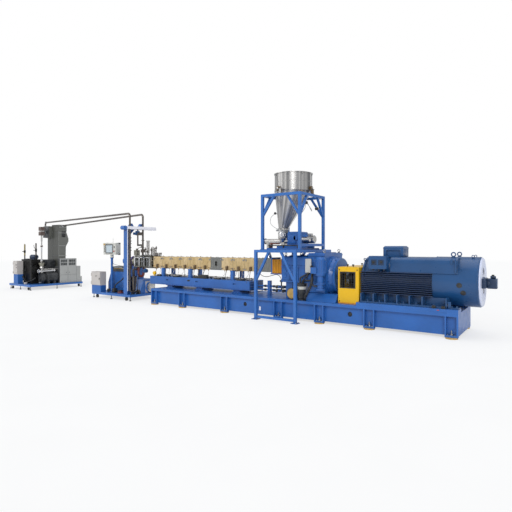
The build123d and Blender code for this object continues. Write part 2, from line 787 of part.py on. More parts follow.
def drive_coupling():
    """Shaft with two hubs and a spacer that turns between gearbox and motor."""
    left = GEARBOX_RIGHT + 80 + RUNNING_GAP
    right = MOTOR_FACE + 80 - RUNNING_GAP
    middle = (GUARD_LEFT + GUARD_RIGHT) / 2
    radius = INPUT_BORE - RUNNING_GAP
    rotor = rod_x(radius, left, right, 0, INPUT_HEIGHT)
    rotor += rod_x(SPACER_RADIUS, middle - 130, middle + 130, 0, INPUT_HEIGHT)
    for side in (-1, 1):
        x = middle + side * 90
        rotor += rod_x(HUB_RADIUS, x - HUB_LENGTH / 2, x + HUB_LENGTH / 2, 0, INPUT_HEIGHT)
        for k in range(6):
            turn = Pos(0, 0, INPUT_HEIGHT) * Rot(60 * k, 0, 0)
            rotor += turn * rod_x(18, x - HUB_LENGTH / 2 - 14, x + HUB_LENGTH / 2 + 14, 0, HUB_RADIUS - 35)
    return rotor


def motor_fins():
    """Level cooling fins on both sides of the motor core."""
    count = int((FIN_HIGH - FIN_LOW) // FIN_PITCH) + 1
    fins = None
    for k in range(count):
        z = FIN_LOW + k * FIN_PITCH
        fin = block(FIN_START, COWL_LEFT, -FIN_REACH, FIN_REACH, z, z + FIN_THICKNESS)
        fins = fin if fins is None else fins + fin
    return fins


def motor_housing():
    """Round motor core with fins, stepped end bell, bearing cap and cooler cowl."""
    face = MOTOR_FACE
    bell = face + END_BELL_DEPTH
    outline = [(face, 0), (face, BELL_CAP_RADIUS - 120), (face + 10, BELL_CAP_RADIUS - 120),
               (face + 10, BELL_CAP_RADIUS), (face + 20, CORE_RADIUS), (face + 25, MOTOR_RADIUS - 20),
               (bell, MOTOR_RADIUS - 20), (bell, CORE_RADIUS), (COWL_LEFT, CORE_RADIUS), (COWL_LEFT, 0)]
    flat = make_face(Polyline(*[(x, 0, r) for x, r in outline], close=True))
    body = Pos(0, 0, INPUT_HEIGHT) * revolve(flat, Axis.X)
    body += motor_fins()
    body += motor_cowl()
    return body - rod_x(INPUT_BORE, face - 1, face + 80, 0, INPUT_HEIGHT)


def motor_cowl():
    """Plain round cowl over the cooler end of the motor."""
    cowl = rod_x(MOTOR_RADIUS, COWL_LEFT, MOTOR_RIGHT, 0, INPUT_HEIGHT)
    return chamfer(cowl.edges().group_by(Axis.X)[-1], 12)


def motor_feet():
    """Long foot rails with upright ribs, cut to the round of the motor."""
    rail_top = DECK_HEIGHT + RAIL_HEIGHT
    top = rail_top + FOOT_RAIL_HEIGHT
    right = FOOT_RAIL_RIBS[-1] + 20
    left = FOOT_RAIL_RIBS[0]
    feet = []
    for side in (-1, 1):
        y_out = side * (BASE_WIDTH / 2 - 60)
        y_in = side * 180
        y0, y1 = sorted((y_in, y_out))
        foot = block(left, right, y0, y1, rail_top, rail_top + 30)
        w0, w1 = sorted((side * 330, side * 350))
        foot += block(left, right, w0, w1, rail_top, top)
        for x in FOOT_RAIL_RIBS:
            foot += block(x, x + 20, y0, y1, rail_top, top)
        foot -= rod_x(CORE_RADIUS + SEAT, left - 1, COWL_LEFT, 0, INPUT_HEIGHT)
        foot -= rod_x(MOTOR_RADIUS + SEAT, COWL_LEFT - SEAT, right + 1, 0, INPUT_HEIGHT)
        foot -= rod_x(MOTOR_RADIUS - 20 + SEAT, left - 1, MOTOR_FACE + END_BELL_DEPTH + 1, 0, INPUT_HEIGHT)
        feet.append(foot)
    return group(feet)


def fins_top():
    """Upper face of the highest fin."""
    return FIN_LOW + int((FIN_HIGH - FIN_LOW) // FIN_PITCH) * FIN_PITCH + FIN_THICKNESS


def over_motor(shape):
    """Shape cut to sit on the round motor and its cowl."""
    shape -= rod_x(CORE_RADIUS + SEAT, MOTOR_FACE, COWL_LEFT, 0, INPUT_HEIGHT)
    shape -= rod_x(MOTOR_RADIUS + SEAT, COWL_LEFT - SEAT, MOTOR_RIGHT, 0, INPUT_HEIGHT)
    return shape - block(MOTOR_FACE, COWL_LEFT, -FIN_REACH - 1, FIN_REACH + 1, FIN_LOW, fins_top())


def motor_casing():
    """Air duct casing with flat sides over the motor, with the main terminal box."""
    half = CASING_WIDTH / 2
    casing = block(CASING_LEFT, CASING_RIGHT, -half, half, fins_top(), CASING_TOP)
    casing = fillet(casing.edges().filter_by(Axis.X).group_by(Axis.Z)[-1], CASING_ROUND)
    return over_motor(casing) + terminal_box()


def terminal_box():
    """Main terminal box with a flared lid, on top of the duct casing and the core."""
    half = TERMINAL_BOX_WIDTH / 2
    left, right = TERMINAL_BOX_LEFT, TERMINAL_BOX_RIGHT
    lid_bottom = TERMINAL_BOX_TOP - TERMINAL_LID_HEIGHT
    flare = TERMINAL_LID_FLARE
    box = block(left, right, -half, half, CASING_TOP, lid_bottom)
    lid = block(left - flare, right + flare, -half - flare, half + flare, lid_bottom, TERMINAL_BOX_TOP)
    box += chamfer(lid.edges().group_by(Axis.Z)[-1], flare)
    neck = block(left + 20, CASING_LEFT, -half + 20, half - 20, INPUT_HEIGHT, CASING_TOP)
    return box + over_motor(neck)


def side_boxes():
    """Small connection boxes with recessed lids, on brackets beside the top of the motor."""
    boxes = []
    back = SMALL_BOX_FRONT - SMALL_BOX_DEPTH
    middle = (SMALL_BOX_BOTTOM + SMALL_BOX_TOP) / 2
    rise = SMALL_LID_SIDE / 2
    for side in (-1, 1):
        y0, y1 = sorted((side * SMALL_BOX_FRONT, side * back))
        box = block(SMALL_BOX_LEFT, SMALL_BOX_RIGHT, y0, y1, SMALL_BOX_BOTTOM, SMALL_BOX_TOP)
        box = fillet(box.edges().filter_by(Axis.Y), 20)
        r0, r1 = sorted((side * (SMALL_BOX_FRONT + 1), side * (SMALL_BOX_FRONT - SMALL_LID_RECESS)))
        for x in SMALL_LID_PLACES:
            left = SMALL_BOX_LEFT + x
            box -= block(left, left + SMALL_LID_SIDE, r0, r1, middle - rise, middle + rise)
        b0, b1 = sorted((side * back, side * 200))
        arm = block(SMALL_BOX_LEFT + 60, SMALL_BOX_RIGHT - 60, b0, b1, SMALL_BOX_BOTTOM + 10,
                    SMALL_BOX_BOTTOM + 60)
        boxes.append(over_motor(box + arm))
    return group(boxes)


def motor_end_cover():
    """Pale bevelled end disc with air slots above and below the shaft."""
    x0 = MOTOR_RIGHT
    x1 = x0 + END_COVER_THICKNESS
    disc = rod_x(MOTOR_RADIUS - 14, x0, x1, 0, INPUT_HEIGHT)
    disc = chamfer(disc.edges().group_by(Axis.X)[-1], END_COVER_THICKNESS / 2)
    slot = SlotOverall(END_SLOT_LENGTH, END_SLOT_WIDTH)
    for angle in END_SLOT_ANGLES:
        turn = Pos(x1, 0, INPUT_HEIGHT) * Rot(angle, 0, 0)
        place = Plane.YZ * Pos(0, END_SLOT_REACH) * Rot(0, 0, 90)
        disc -= turn * extrude(place * slot, END_COVER_THICKNESS / 2, both=True)
    return disc


def encoder_unit():
    """Auxiliary unit on the free end of the motor: flange, thin neck and a case with a bump."""
    x0 = MOTOR_RIGHT + END_COVER_THICKNESS
    x1 = x0 + ENCODER_LENGTH
    case = x0 + ENCODER_CASE_START
    half = ENCODER_CASE / 2
    unit = rod_x(ENCODER_RADIUS, x0, x0 + 20, 0, INPUT_HEIGHT)
    unit += rod_x(ENCODER_SHAFT_RADIUS, x0, case, 0, INPUT_HEIGHT)
    body = block(case, x1, -half, half, INPUT_HEIGHT - half, INPUT_HEIGHT + half)
    unit += fillet(body.edges().filter_by(Axis.X), 30)
    unit += block(case + 30, x1 - 30, -half / 2, half / 2, INPUT_HEIGHT, INPUT_HEIGHT + half + 45)
    return unit


def lube_pump():
    """Upright finned oil pump motor with its junction box, on a bracket of the gearbox."""
    face = -GEARBOX_WIDTH / 2 - SPLIT_RISE
    low = PUMP_MOTOR_BOTTOM
    radius = PUMP_MOTOR_RADIUS
    body = rod_z(radius, low, PUMP_TOP - 40, PUMP_X, PUMP_Y)
    body += cone_z(radius, radius - 30, PUMP_TOP - 40, PUMP_TOP, PUMP_X, PUMP_Y)
    body += rod_z(radius - 45, PUMP_FOOT, low, PUMP_X, PUMP_Y)
    for level in (PUMP_FOOT, PUMP_FOOT + PUMP_FLANGE_RISE, low - PUMP_FLANGE):
        body += rod_z(radius - 10, level, level + PUMP_FLANGE, PUMP_X, PUMP_Y)
    for k in range(PUMP_FINS):
        fin = block(radius - 6, radius + 14, -4, 4, low + 40, PUMP_TOP - 60)
        body += Pos(PUMP_X, PUMP_Y, 0) * Rot(0, 0, 360 / PUMP_FINS * k) * fin
    left = PUMP_X - radius - 50
    front = PUMP_Y - radius - 30
    body += block(left, left + PUMP_BOX_WIDTH, front, PUMP_Y, PUMP_BOX_BOTTOM, PUMP_BOX_BOTTOM + PUMP_BOX_HEIGHT)
    body += block(PUMP_X - 50, PUMP_X + 50, PUMP_Y, face, low - 60, low - 30)
    return body


def oil_filter():
    """Oil filter bowl on the deck with its head."""
    bowl = rod_z(FILTER_RADIUS, FILTER_BOTTOM, FILTER_TOP, FILTER_X, FILTER_Y)
    bowl = fillet(bowl.edges().group_by(Axis.Z)[0], 25)
    bowl += rod_z(FILTER_RADIUS - 15, DECK_HEIGHT, FILTER_BOTTOM + 30, FILTER_X, FILTER_Y)
    bowl += block(FILTER_X - 85, FILTER_X + 85, FILTER_Y - 60, FILTER_Y + 60, FILTER_TOP,
                  FILTER_TOP + FILTER_HEAD)
    return bowl


def oil_hoses():
    """Rigid-clamped oil hoses between pump, filter and gearbox."""
    head = FILTER_TOP + FILTER_HEAD
    x, y = FILTER_X, FILTER_Y
    entry = PUMP_FOOT + PUMP_FLANGE_RISE - 45
    neck = PUMP_X - PUMP_MOTOR_RADIUS + 45 - SEAT
    first = pipe([(x + 40, y, head), (x + 40, y, head + 65), (PUMP_X - 255, y - 30, head + 85),
                  (PUMP_X - 175, PUMP_Y, entry), (neck, PUMP_Y, entry)], 18, 50)
    second = pipe([(x - 40, y, head), (x - 40, y, head + 125), (x + 190, y, head + 245),
                   (x + 190, -GEARBOX_WIDTH / 2, head + 245)], 18, 40)
    return first + second


def oil_set():
    """Oil filter with its hoses and the cooler."""
    return group([oil_filter() + oil_hoses(), cooler_drum()])


def cooler_drum():
    """Oil cooler in front of the gearbox column, with a flat tan end and a foot."""
    drum = rod_y(COOLER_RADIUS - 8, COOLER_FRONT, COOLER_BACK, COOLER_X, COOLER_Z)
    drum += rod_y(COOLER_RADIUS, COOLER_FRONT, COOLER_FRONT + 25, COOLER_X, COOLER_Z)
    drum += block(COOLER_X - 60, COOLER_X + 60, COOLER_FRONT + 40, COOLER_BACK, DECK_HEIGHT, COOLER_Z)
    return drum


def cooling_pipes():
    """Two cooling water pipes from the girder's end to the column of the gearbox."""
    pipes = []
    for level in COOLING_LEVELS:
        run = rod_x(COOLING_RADIUS, GIRDER_RIGHT, COOLING_RIGHT, COOLING_Y, level)
        run += rod_x(COOLING_RADIUS + 14, GIRDER_RIGHT, GIRDER_RIGHT + 14, COOLING_Y, level)
        for x in VALVE_X:
            run += rod_x(COOLING_RADIUS + 12, x - 30, x + 30, COOLING_Y, level)
            run += rod_y(10, COOLING_Y - 62, COOLING_Y, x, level)
            run += rod_y(26, COOLING_Y - 74, COOLING_Y - 60, x, level)
        pipes.append(run)
    return group(pipes + [pipe_post()])


def pipe_post():
    """Post that carries the cooling pipes, open round each pipe."""
    post = block(PIPE_POST_X - 35, PIPE_POST_X + 35, COOLING_Y - 45, COOLING_Y + 45, DECK_HEIGHT,
                 PIPE_POST_TOP)
    post += block(PIPE_POST_X - 60, PIPE_POST_X + 60, COOLING_Y - 70, COOLING_Y + 70, DECK_HEIGHT,
                  DECK_HEIGHT + 12)
    for level in COOLING_LEVELS:
        post -= rod_x(COOLING_RADIUS + SEAT, PIPE_POST_X - 40, PIPE_POST_X + 40, COOLING_Y, level)
    return post


def lower_frame():
    """Square tube platform frame that straddles the extruder base."""
    half = TUBE / 2
    x_left, x_right = PLATFORM_LEFT + half, PLATFORM_RIGHT - half
    y_front, y_back = PLATFORM_FRONT + half, PLATFORM_BACK - half
    axis = PLATFORM_TOP - half
    frame = block(PLATFORM_LEFT, PLATFORM_RIGHT, PLATFORM_FRONT, PLATFORM_FRONT + TUBE,
                  PLATFORM_TOP - TUBE, PLATFORM_TOP)
    frame += block(PLATFORM_LEFT, PLATFORM_RIGHT, PLATFORM_BACK - TUBE, PLATFORM_BACK,
                   PLATFORM_TOP - TUBE, PLATFORM_TOP)
    for x in (x_left, x_right):
        frame += block(x - half, x + half, PLATFORM_FRONT, PLATFORM_BACK, PLATFORM_TOP - TUBE,
                       PLATFORM_TOP)
    for y in (UPPER_FRONT + half, UPPER_BACK - half):
        frame += block(PLATFORM_LEFT, PLATFORM_RIGHT, y - half, y + half, PLATFORM_TOP - TUBE,
                       PLATFORM_TOP)
    for x in (x_left, x_right):
        for y in (y_front, y_back):
            frame += block(x - half, x + half, y - half, y + half, 0, PLATFORM_TOP)
            plate = FOOT_PLATE_SIDE / 2
            frame += block(x - plate, x + plate, y - plate, y + plate, 0, FOOT_PLATE_THICKNESS)
    for y in (y_front, y_back):
        frame += block(PLATFORM_LEFT, PLATFORM_RIGHT, y - half + 5, y + half - 5, LOW_RAIL_BOTTOM,
                       LOW_RAIL_BOTTOM + TUBE - 10)
        for x, way in ((x_left, 1), (x_right, -1)):
            frame += bar((x + way * LOWER_BRACE_REACH, y, axis), (x, y, axis - LOWER_BRACE_DROP),
                         TUBE - 12, (0, 1, 0))
    return frame


def upper_frame():
    """Square tube frame with knee braces that carries the hopper."""
    half = TUBE / 2
    x_left, x_right = PLATFORM_LEFT + half, UPPER_RIGHT - half
    y_front, y_back = UPPER_FRONT + half, UPPER_BACK - half
    low = PLATFORM_TOP
    axis = UPPER_TOP - half
    frame = None
    for x in (x_left, x_right):
        for y in (y_front, y_back):
            post = block(x - half, x + half, y - half, y + half, low, UPPER_TOP)
            frame = post if frame is None else frame + post
    for y in (y_front, y_back):
        frame += block(x_left, x_right, y - half, y + half, UPPER_TOP - TUBE, UPPER_TOP)
    for x in (x_left, x_right):
        frame += block(x - half, x + half, y_front, y_back, UPPER_TOP - TUBE, UPPER_TOP)
    frame += block(x_right - half, x_right + half, y_front, y_back, SIDE_RAIL_BOTTOM,
                   SIDE_RAIL_BOTTOM + TUBE)
    foot = axis - UPPER_BRACE_DROP
    for x, way_x in ((x_left, 1), (x_right, -1)):
        for y, way_y in ((y_front, 1), (y_back, -1)):
            frame += bar((x + way_x * UPPER_BRACE_REACH, y, axis), (x, y, foot), TUBE - 15, (0, 1, 0))
            frame += bar((x, y + way_y * UPPER_BRACE_REACH, axis), (x, y, foot), TUBE - 15, (1, 0, 0))
    return frame


def feeder_platform():
    """Floor plate on the lower frame with a raised scale frame for the feeder."""
    left, right = PLATFORM_LEFT + TUBE + 10, UPPER_RIGHT - TUBE - 10
    front, back = UPPER_FRONT + TUBE + 10, UPPER_BACK - TUBE - 10
    plate = block(left, right, UPPER_FRONT + 8, UPPER_BACK - 8, PLATFORM_TOP, PLATFORM_TOP + 12)
    plate += block(left + 30, right - 30, front + 30, back - 30, PLATFORM_TOP + 12, PLATE_TOP)
    for y in (-FEEDER_HALF_WIDTH, FEEDER_HALF_WIDTH - 80):
        plate += block(left + 50, right - 60, y, y + 80, PLATE_TOP, SCALE_TOP)
    return plate


def hopper_solid(shrink, extend):
    """Solid of the hopper's round top and leaning cone, drawn in by the wall."""
    low = Pos(HOPPER_OUTLET_X, 0, HOPPER_OUTLET_Z - extend) * Circle(HOPPER_OUTLET_RADIUS - shrink)
    waist = Pos(HOPPER_X, HOPPER_Y, HOPPER_WAIST) * Circle(HOPPER_RADIUS - shrink)
    body = loft([low, waist])
    return body + rod_z(HOPPER_RADIUS - shrink, HOPPER_WAIST, HOPPER_TOP + extend, HOPPER_X, HOPPER_Y)


def hopper_shell():
    """Thin hopper with a round top, a leaning cone, a rim and carrying arms."""
    half = TUBE / 2
    shell = hopper_solid(0, 0)
    shell += rod_z(HOPPER_RADIUS + 14, HOPPER_TOP - 12, HOPPER_TOP, HOPPER_X, HOPPER_Y)
    shell += rod_z(HOPPER_OUTLET_RADIUS + 22, HOPPER_OUTLET_Z, HOPPER_OUTLET_Z + 12, HOPPER_OUTLET_X, 0)
    shell += rod_z(HOPPER_RADIUS + 6, HOPPER_WAIST - 8, HOPPER_WAIST + 22, HOPPER_X, HOPPER_Y)
    wide = LUG_WIDTH / 2
    left, right = PLATFORM_LEFT + half, UPPER_RIGHT - half
    front, back = UPPER_FRONT + half, UPPER_BACK - half
    arm_top = HOPPER_WAIST + LUG_PLATE
    shell += block(left - half, right + half, HOPPER_Y - wide, HOPPER_Y + wide, HOPPER_WAIST, arm_top)
    shell += block(HOPPER_X - wide, HOPPER_X + wide, front - half, back + half, HOPPER_WAIST, arm_top)
    shell -= hopper_solid(HOPPER_WALL, 1)
    for cell in load_cells():
        shell += cell
    return shell


def load_cells():
    """Four load cells between the upper frame and the hopper's arms."""
    half = TUBE / 2
    cells = []
    for x, y in ((PLATFORM_LEFT + half, HOPPER_Y), (UPPER_RIGHT - half, HOPPER_Y),
                 (HOPPER_X, UPPER_FRONT + half), (HOPPER_X, UPPER_BACK - half)):
        cell = block(x - half, x + half, y - half, y + half, UPPER_TOP, UPPER_TOP + LUG_PLATE)
        cell += rod_z(LOAD_CELL_RADIUS, UPPER_TOP, HOPPER_WAIST, x, y)
        cells.append(cell)
    return cells


def hopper_lid():
    """Clamped flat lid with a filling neck and a vent stub."""
    lid = rod_z(HOPPER_RADIUS + 14, HOPPER_TOP, HOPPER_TOP + 8, HOPPER_X, HOPPER_Y)
    lid += rod_z(90, HOPPER_TOP + 8, HOPPER_TOP + 30, HOPPER_X, HOPPER_Y)
    lid += rod_z(22, HOPPER_TOP + 8, HOPPER_TOP + 45, HOPPER_X - 330, HOPPER_Y)
    return lid


def outlet_valve():
    """Slide valve and soft sleeve between the hopper and the feeder trough."""
    x = HOPPER_OUTLET_X
    valve = rod_z(HOPPER_OUTLET_RADIUS + 22, HOPPER_OUTLET_Z - 14, HOPPER_OUTLET_Z, x, 0)
    collar_top = TROUGH_TOP + SLEEVE_COLLAR
    valve += rod_z(HOPPER_OUTLET_RADIUS - 5, collar_top, HOPPER_OUTLET_Z, x, 0)
    valve += rod_z(HOPPER_OUTLET_RADIUS + 18, TROUGH_TOP, collar_top, x, 0)
    return valve


def feeder_body():
    """Gear case of the feeder on the scale frame."""
    half = FEEDER_HALF_WIDTH
    case = block(FEEDER_LEFT, FEEDER_RIGHT, -half, half, SCALE_TOP, FEEDER_TOP)
    case = chamfer(case.edges().filter_by(Axis.Y).group_by(Axis.Z)[-1], 30)
    case += rod_y(55, -half - 25, -half, FEEDER_RIGHT - 90, FEEDER_BOSS_Z)
    case += block(FEEDER_LEFT - 20, FEEDER_RIGHT + 20, -half, half, SCALE_TOP, SCALE_TOP + 20)
    return case


def feeder_trough():
    """Round feed bowl under the slide valve, screw tube and chute to the barrel."""
    bowl = rod_z(TROUGH_RADIUS, TROUGH_WAIST, TROUGH_TOP, HOPPER_OUTLET_X, 0)
    bowl += cone_z(SCREW_TUBE_RADIUS + 15, TROUGH_RADIUS, TROUGH_BOTTOM, TROUGH_WAIST, HOPPER_OUTLET_X, 0)
    bowl += rod_x(SCREW_TUBE_RADIUS, SCREW_TUBE_LEFT, FEEDER_LEFT - 20, 0, SCREW_TUBE_Z)
    bowl += rod_x(SCREW_TUBE_RADIUS + 18, SCREW_TUBE_LEFT, SCREW_TUBE_LEFT + 15, 0, SCREW_TUBE_Z)
    bowl += block(HOPPER_OUTLET_X - 30, HOPPER_OUTLET_X + 60, -70, 70, SCALE_TOP, SCREW_TUBE_Z - 30)
    bowl += rod_z(CHUTE_RADIUS + 15, CHUTE_JOINT_Z, SCREW_TUBE_Z, CHUTE_X, 0)
    return bowl + outlet_valve() + feed_chute()


def feeder_motor():
    """Round motor with end bell on the back of the gear case."""
    motor = rod_x(FEEDER_MOTOR_RADIUS, FEEDER_RIGHT + 30, FEEDER_MOTOR_RIGHT, FEEDER_MOTOR_Y, FEEDER_MOTOR_Z)
    motor += rod_x(FEEDER_MOTOR_RADIUS - 30, FEEDER_RIGHT, FEEDER_RIGHT + 30, FEEDER_MOTOR_Y, FEEDER_MOTOR_Z)
    motor = chamfer(motor.edges().group_by(Axis.X)[-1], 15)
    motor += block(FEEDER_RIGHT + 80, FEEDER_RIGHT + 180, FEEDER_MOTOR_Y - 50, FEEDER_MOTOR_Y + 50,
                   FEEDER_MOTOR_Z, FEEDER_MOTOR_Z + FEEDER_MOTOR_RADIUS + 45)
    return motor


def feed_chute():
    """Chute from the screw tube down to the throat of the feed barrel."""
    top = SCREW_HEIGHT + BARREL_SIDE / 2
    chute = rod_z(CHUTE_RADIUS, top + 60, CHUTE_JOINT_Z, CHUTE_X, 0)
    chute += cone_z(CHUTE_RADIUS + 40, CHUTE_RADIUS, top + 15, top + 130, CHUTE_X, 0)
    chute += block(CHUTE_X - 110, CHUTE_X + 110, -110, 110, top, top + 15)
    return chute


def skid_frame(left, right, front, back, bottom, top):
    """Welded skid: rim of square section, cross members and a floor plate."""
    plate = 10
    frame = block(left, right, front, back, bottom, top)
    frame -= block(left + SKID_SECTION, right - SKID_SECTION, front + SKID_SECTION,
                   back - SKID_SECTION, bottom - 1, top - plate)
    middle = (left + right) / 2
    half = SKID_SECTION / 2
    frame += block(middle - half, middle + half, front + 1, back - 1, bottom, top)
    across = (front + back) / 2
    return frame + block(left + 1, right - 1, across - half, across + half, bottom, top)


def jack_foot(x, y, bottom):
    """Levelling foot with a round plate and a stem."""
    foot = rod_z(SKID_FOOT_RADIUS, 0, 14, x, y)
    foot += cone_z(SKID_FOOT_RADIUS - 4, SKID_STEM_RADIUS + 4, 14, 26, x, y)
    return foot + rod_z(SKID_STEM_RADIUS, 26, bottom, x, y)


def caster(x, y, bottom):
    """Fixed-fork caster whose wheel stands on the floor."""
    fork = block(x - 38, x + 38, y - 34, y + 34, bottom - 6, bottom)
    for side in (-1, 1):
        y0, y1 = sorted((y + side * (CASTER_WIDTH / 2 + 2), y + side * (CASTER_WIDTH / 2 + 7)))
        fork += block(x - 16, x + 16, y0, y1, CASTER_RADIUS - 10, bottom)
    fork += rod_y(7, y - CASTER_WIDTH / 2 - 7, y + CASTER_WIDTH / 2 + 7, x, CASTER_RADIUS)
    return fork + rod_y(CASTER_RADIUS, y - CASTER_WIDTH / 2, y + CASTER_WIDTH / 2, x, CASTER_RADIUS)


def pelletiser_skid():
    """Skid under the pelletiser."""
    return skid_frame(SKID_LEFT, SKID_RIGHT, SKID_FRONT, SKID_BACK, SKID_BOTTOM, SKID_TOP)


def pelletiser_feet():
    """Levelling feet round the pelletiser skid."""
    edge = 45
    middle = (SKID_LEFT + SKID_RIGHT) / 2
    places = [(x, y) for x in (SKID_LEFT + edge, middle, SKID_RIGHT - edge)
              for y in (SKID_FRONT + edge, SKID_BACK - edge)]
    return [jack_foot(x, y, SKID_BOTTOM) for x, y in places]


def pelletiser_casters():
    """Casters of the pelletiser skid, parked with the feet down."""
    return [caster(x, y, SKID_BOTTOM) for x in (SKID_LEFT + 230, SKID_RIGHT - 230)
            for y in (SKID_FRONT + 50, SKID_BACK - 50)]


def pelletiser_stands():
    """Feet and casters of the pelletiser skid."""
    return group(pelletiser_feet() + pelletiser_casters())


def cabinet_body(left, front, floor, split, top, width, depth):
    """Switch cabinet: closed base part and a hollow upper part, open to the door."""
    wall = CABINET_WALL
    body = block(left, left + width, front, front + depth, floor, top)
    body -= block(left + wall, left + width - wall, front - 1, front + depth - wall, split + wall,
                  top - wall)
    for pin in cabinet_hinges(left, front, split, top):
        body += pin
    return body


def cabinet_door(left, front, split, top, width):
    """Flat door with a folded rim, a lock and two knuckles on the left."""
    y1 = front - DOOR_GAP
    y0 = y1 - DOOR_THICKNESS
    hinge = left - HINGE_RADIUS
    door = block(left + 4, left + width - 2, y0, y1, split + 4, top - 2)
    door += rod_y(11, y0 - 8, y0, left + width / 2, split + (top - split) * 0.62)
    for z in (split + 60, top - 110):
        door += rod_z(HINGE_RADIUS, z, z + 50, hinge, y0)
        door += block(hinge, left + 30, y0, y0 + 4, z, z + 50)
        door -= rod_z(PIN_RADIUS + RUNNING_GAP, z - 1, z + 51, hinge, y0)
    return door


def cabinet_hinges(left, front, split, top):
    """Hinge pins with their lower knuckles, fixed to the cabinet's side."""
    y0 = front - DOOR_GAP - DOOR_THICKNESS
    hinge = left - HINGE_RADIUS
    pins = []
    for z in (split + 60, top - 110):
        low = rod_z(HINGE_RADIUS, z - 40, z - RUNNING_GAP, hinge, y0)
        low += rod_z(PIN_RADIUS, z - 40, z + 58, hinge, y0)
        low += block(hinge - 4, left, y0, front + 30, z - 40, z - RUNNING_GAP)
        pins.append(low)
    return pins


def pelletiser_cabinet():
    """Switch cabinet at the left of the pelletiser skid."""
    return cabinet_body(SKID_LEFT, SKID_FRONT, SKID_TOP, CABINET_SPLIT, CABINET_TOP, CABINET_WIDTH,
                        CABINET_DEPTH)


def pelletiser_cabinet_door():
    """Door of the pelletiser's switch cabinet."""
    return cabinet_door(SKID_LEFT, SKID_FRONT, CABINET_SPLIT, CABINET_TOP, CABINET_WIDTH)


def console():
    """Sheet metal housing with a sloped end, a slotted top band and louvres."""
    outline = [(CONSOLE_LEFT, SKID_TOP), (CONSOLE_RIGHT, SKID_TOP), (CONSOLE_RIGHT, CONSOLE_TOP),
               (CONSOLE_TOP_LEFT, CONSOLE_TOP), (CONSOLE_LEFT, 480)]
    body = profile_y(outline, CONSOLE_FRONT, CONSOLE_BACK)
    body += block(CONSOLE_TOP_LEFT - 15, CONSOLE_RIGHT + 15, CONSOLE_FRONT - 15, CONSOLE_BACK + 15,
                  CONSOLE_TOP, CONSOLE_TOP + 22)
    body -= block(CONSOLE_TOP_LEFT + 120, CONSOLE_RIGHT - 60, CONSOLE_FRONT - 1, CONSOLE_FRONT + 40,
                  CONSOLE_TOP - 130, CONSOLE_TOP - 70)
    for k in range(5):
        z = 300 + 45 * k
        body -= block(CONSOLE_RIGHT - 420, CONSOLE_RIGHT - 120, CONSOLE_FRONT - 1, CONSOLE_FRONT + 15,
                      z, z + 14)
    return body


def panel_post():
    """Round post with a base plate and a swivel neck for the control panel."""
    post = rod_z(POST_RADIUS, SKID_TOP, POST_TOP, POST_X, POST_Y)
    post += rod_z(90, SKID_TOP, SKID_TOP + 14, POST_X, POST_Y)
    post += cone_z(POST_RADIUS, NECK_RADIUS, POST_TOP - 40, POST_TOP, POST_X, POST_Y)
    return post


def control_panel():
    """Box with a recessed screen, corner clamps and a stub aerial, on a round neck."""
    half = PANEL_WIDTH / 2
    deep = PANEL_DEPTH / 2
    front = POST_Y - deep
    box = block(POST_X - half, POST_X + half, front, POST_Y + deep, PANEL_BOTTOM, PANEL_TOP)
    box = fillet(box.edges().filter_by(Axis.Z), 12)
    middle = (PANEL_BOTTOM + PANEL_TOP) / 2
    rise = SCREEN_HEIGHT / 2
    wide = SCREEN_WIDTH / 2
    box += block(POST_X - wide - 25, POST_X + wide + 25, front - 14, front, middle - rise - 25,
                 middle + rise + 25)
    box -= block(POST_X - wide, POST_X + wide, front - 15, front - 2, middle - rise, middle + rise)
    for x in (POST_X - half, POST_X + half - 40):
        for z in (PANEL_BOTTOM - 8, PANEL_TOP - 32):
            box += block(x - 6, x + 46, POST_Y + 20, POST_Y + 80, z, z + 40)
    box += rod_z(6, PANEL_TOP, PANEL_TOP + 150, POST_X + 60, POST_Y)
    box += rod_z(NECK_RADIUS - 8, POST_TOP + RUNNING_GAP, PANEL_BOTTOM, POST_X, POST_Y)
    return box


def h_section(x0, x1, y0, y1, z0, z1, along):
    """Beam of H section whose recess faces X, standing or lying along Y."""
    body = block(x0, x1, y0, y1, z0, z1)
    web = 6
    middle = (x0 + x1) / 2
    for a, b in ((x0 - 1, middle - web), (middle + web, x1 + 1)):
        if along == "z":
            body -= block(a, b, y0 + H_PLATE, y1 - H_PLATE, z0 + H_PLATE, z1 - H_PLATE)
        else:
            body -= block(a, b, y0 - 1, y1 - H_PLATE, z0 + H_PLATE, z1 - H_PLATE)
    return body


def gantry_column():
    """Standing H beam with a base plate, a gusset and a rounded head."""
    column = h_section(COLUMN_LEFT, COLUMN_RIGHT, COLUMN_FRONT, COLUMN_BACK, SKID_TOP, COLUMN_TOP, "z")
    middle = (COLUMN_LEFT + COLUMN_RIGHT) / 2
    head_z = (ARM_BOTTOM + COLUMN_TOP) / 2
    head = rod_x(62, COLUMN_LEFT, COLUMN_RIGHT, COLUMN_FRONT - 60, head_z)
    head += block(COLUMN_LEFT, COLUMN_RIGHT, COLUMN_FRONT - 60, COLUMN_FRONT, head_z - 62, head_z + 42)
    column += head
    gusset = profile_x([(COLUMN_BACK, ARM_BOTTOM), (COLUMN_BACK, ARM_BOTTOM - 190),
                        (COLUMN_BACK + 190, ARM_BOTTOM)], middle - 8, middle + 8)
    return column + gusset


def gantry_arm():
    """H beam that reaches from the column over the die head."""
    return h_section(COLUMN_LEFT, COLUMN_RIGHT, COLUMN_BACK, ARM_END, ARM_BOTTOM, COLUMN_TOP, "y")


def gantry():
    """Column with the triangular brackets that hold the pipes on top of the arm."""
    return group([gantry_column()] + pipe_carriers())


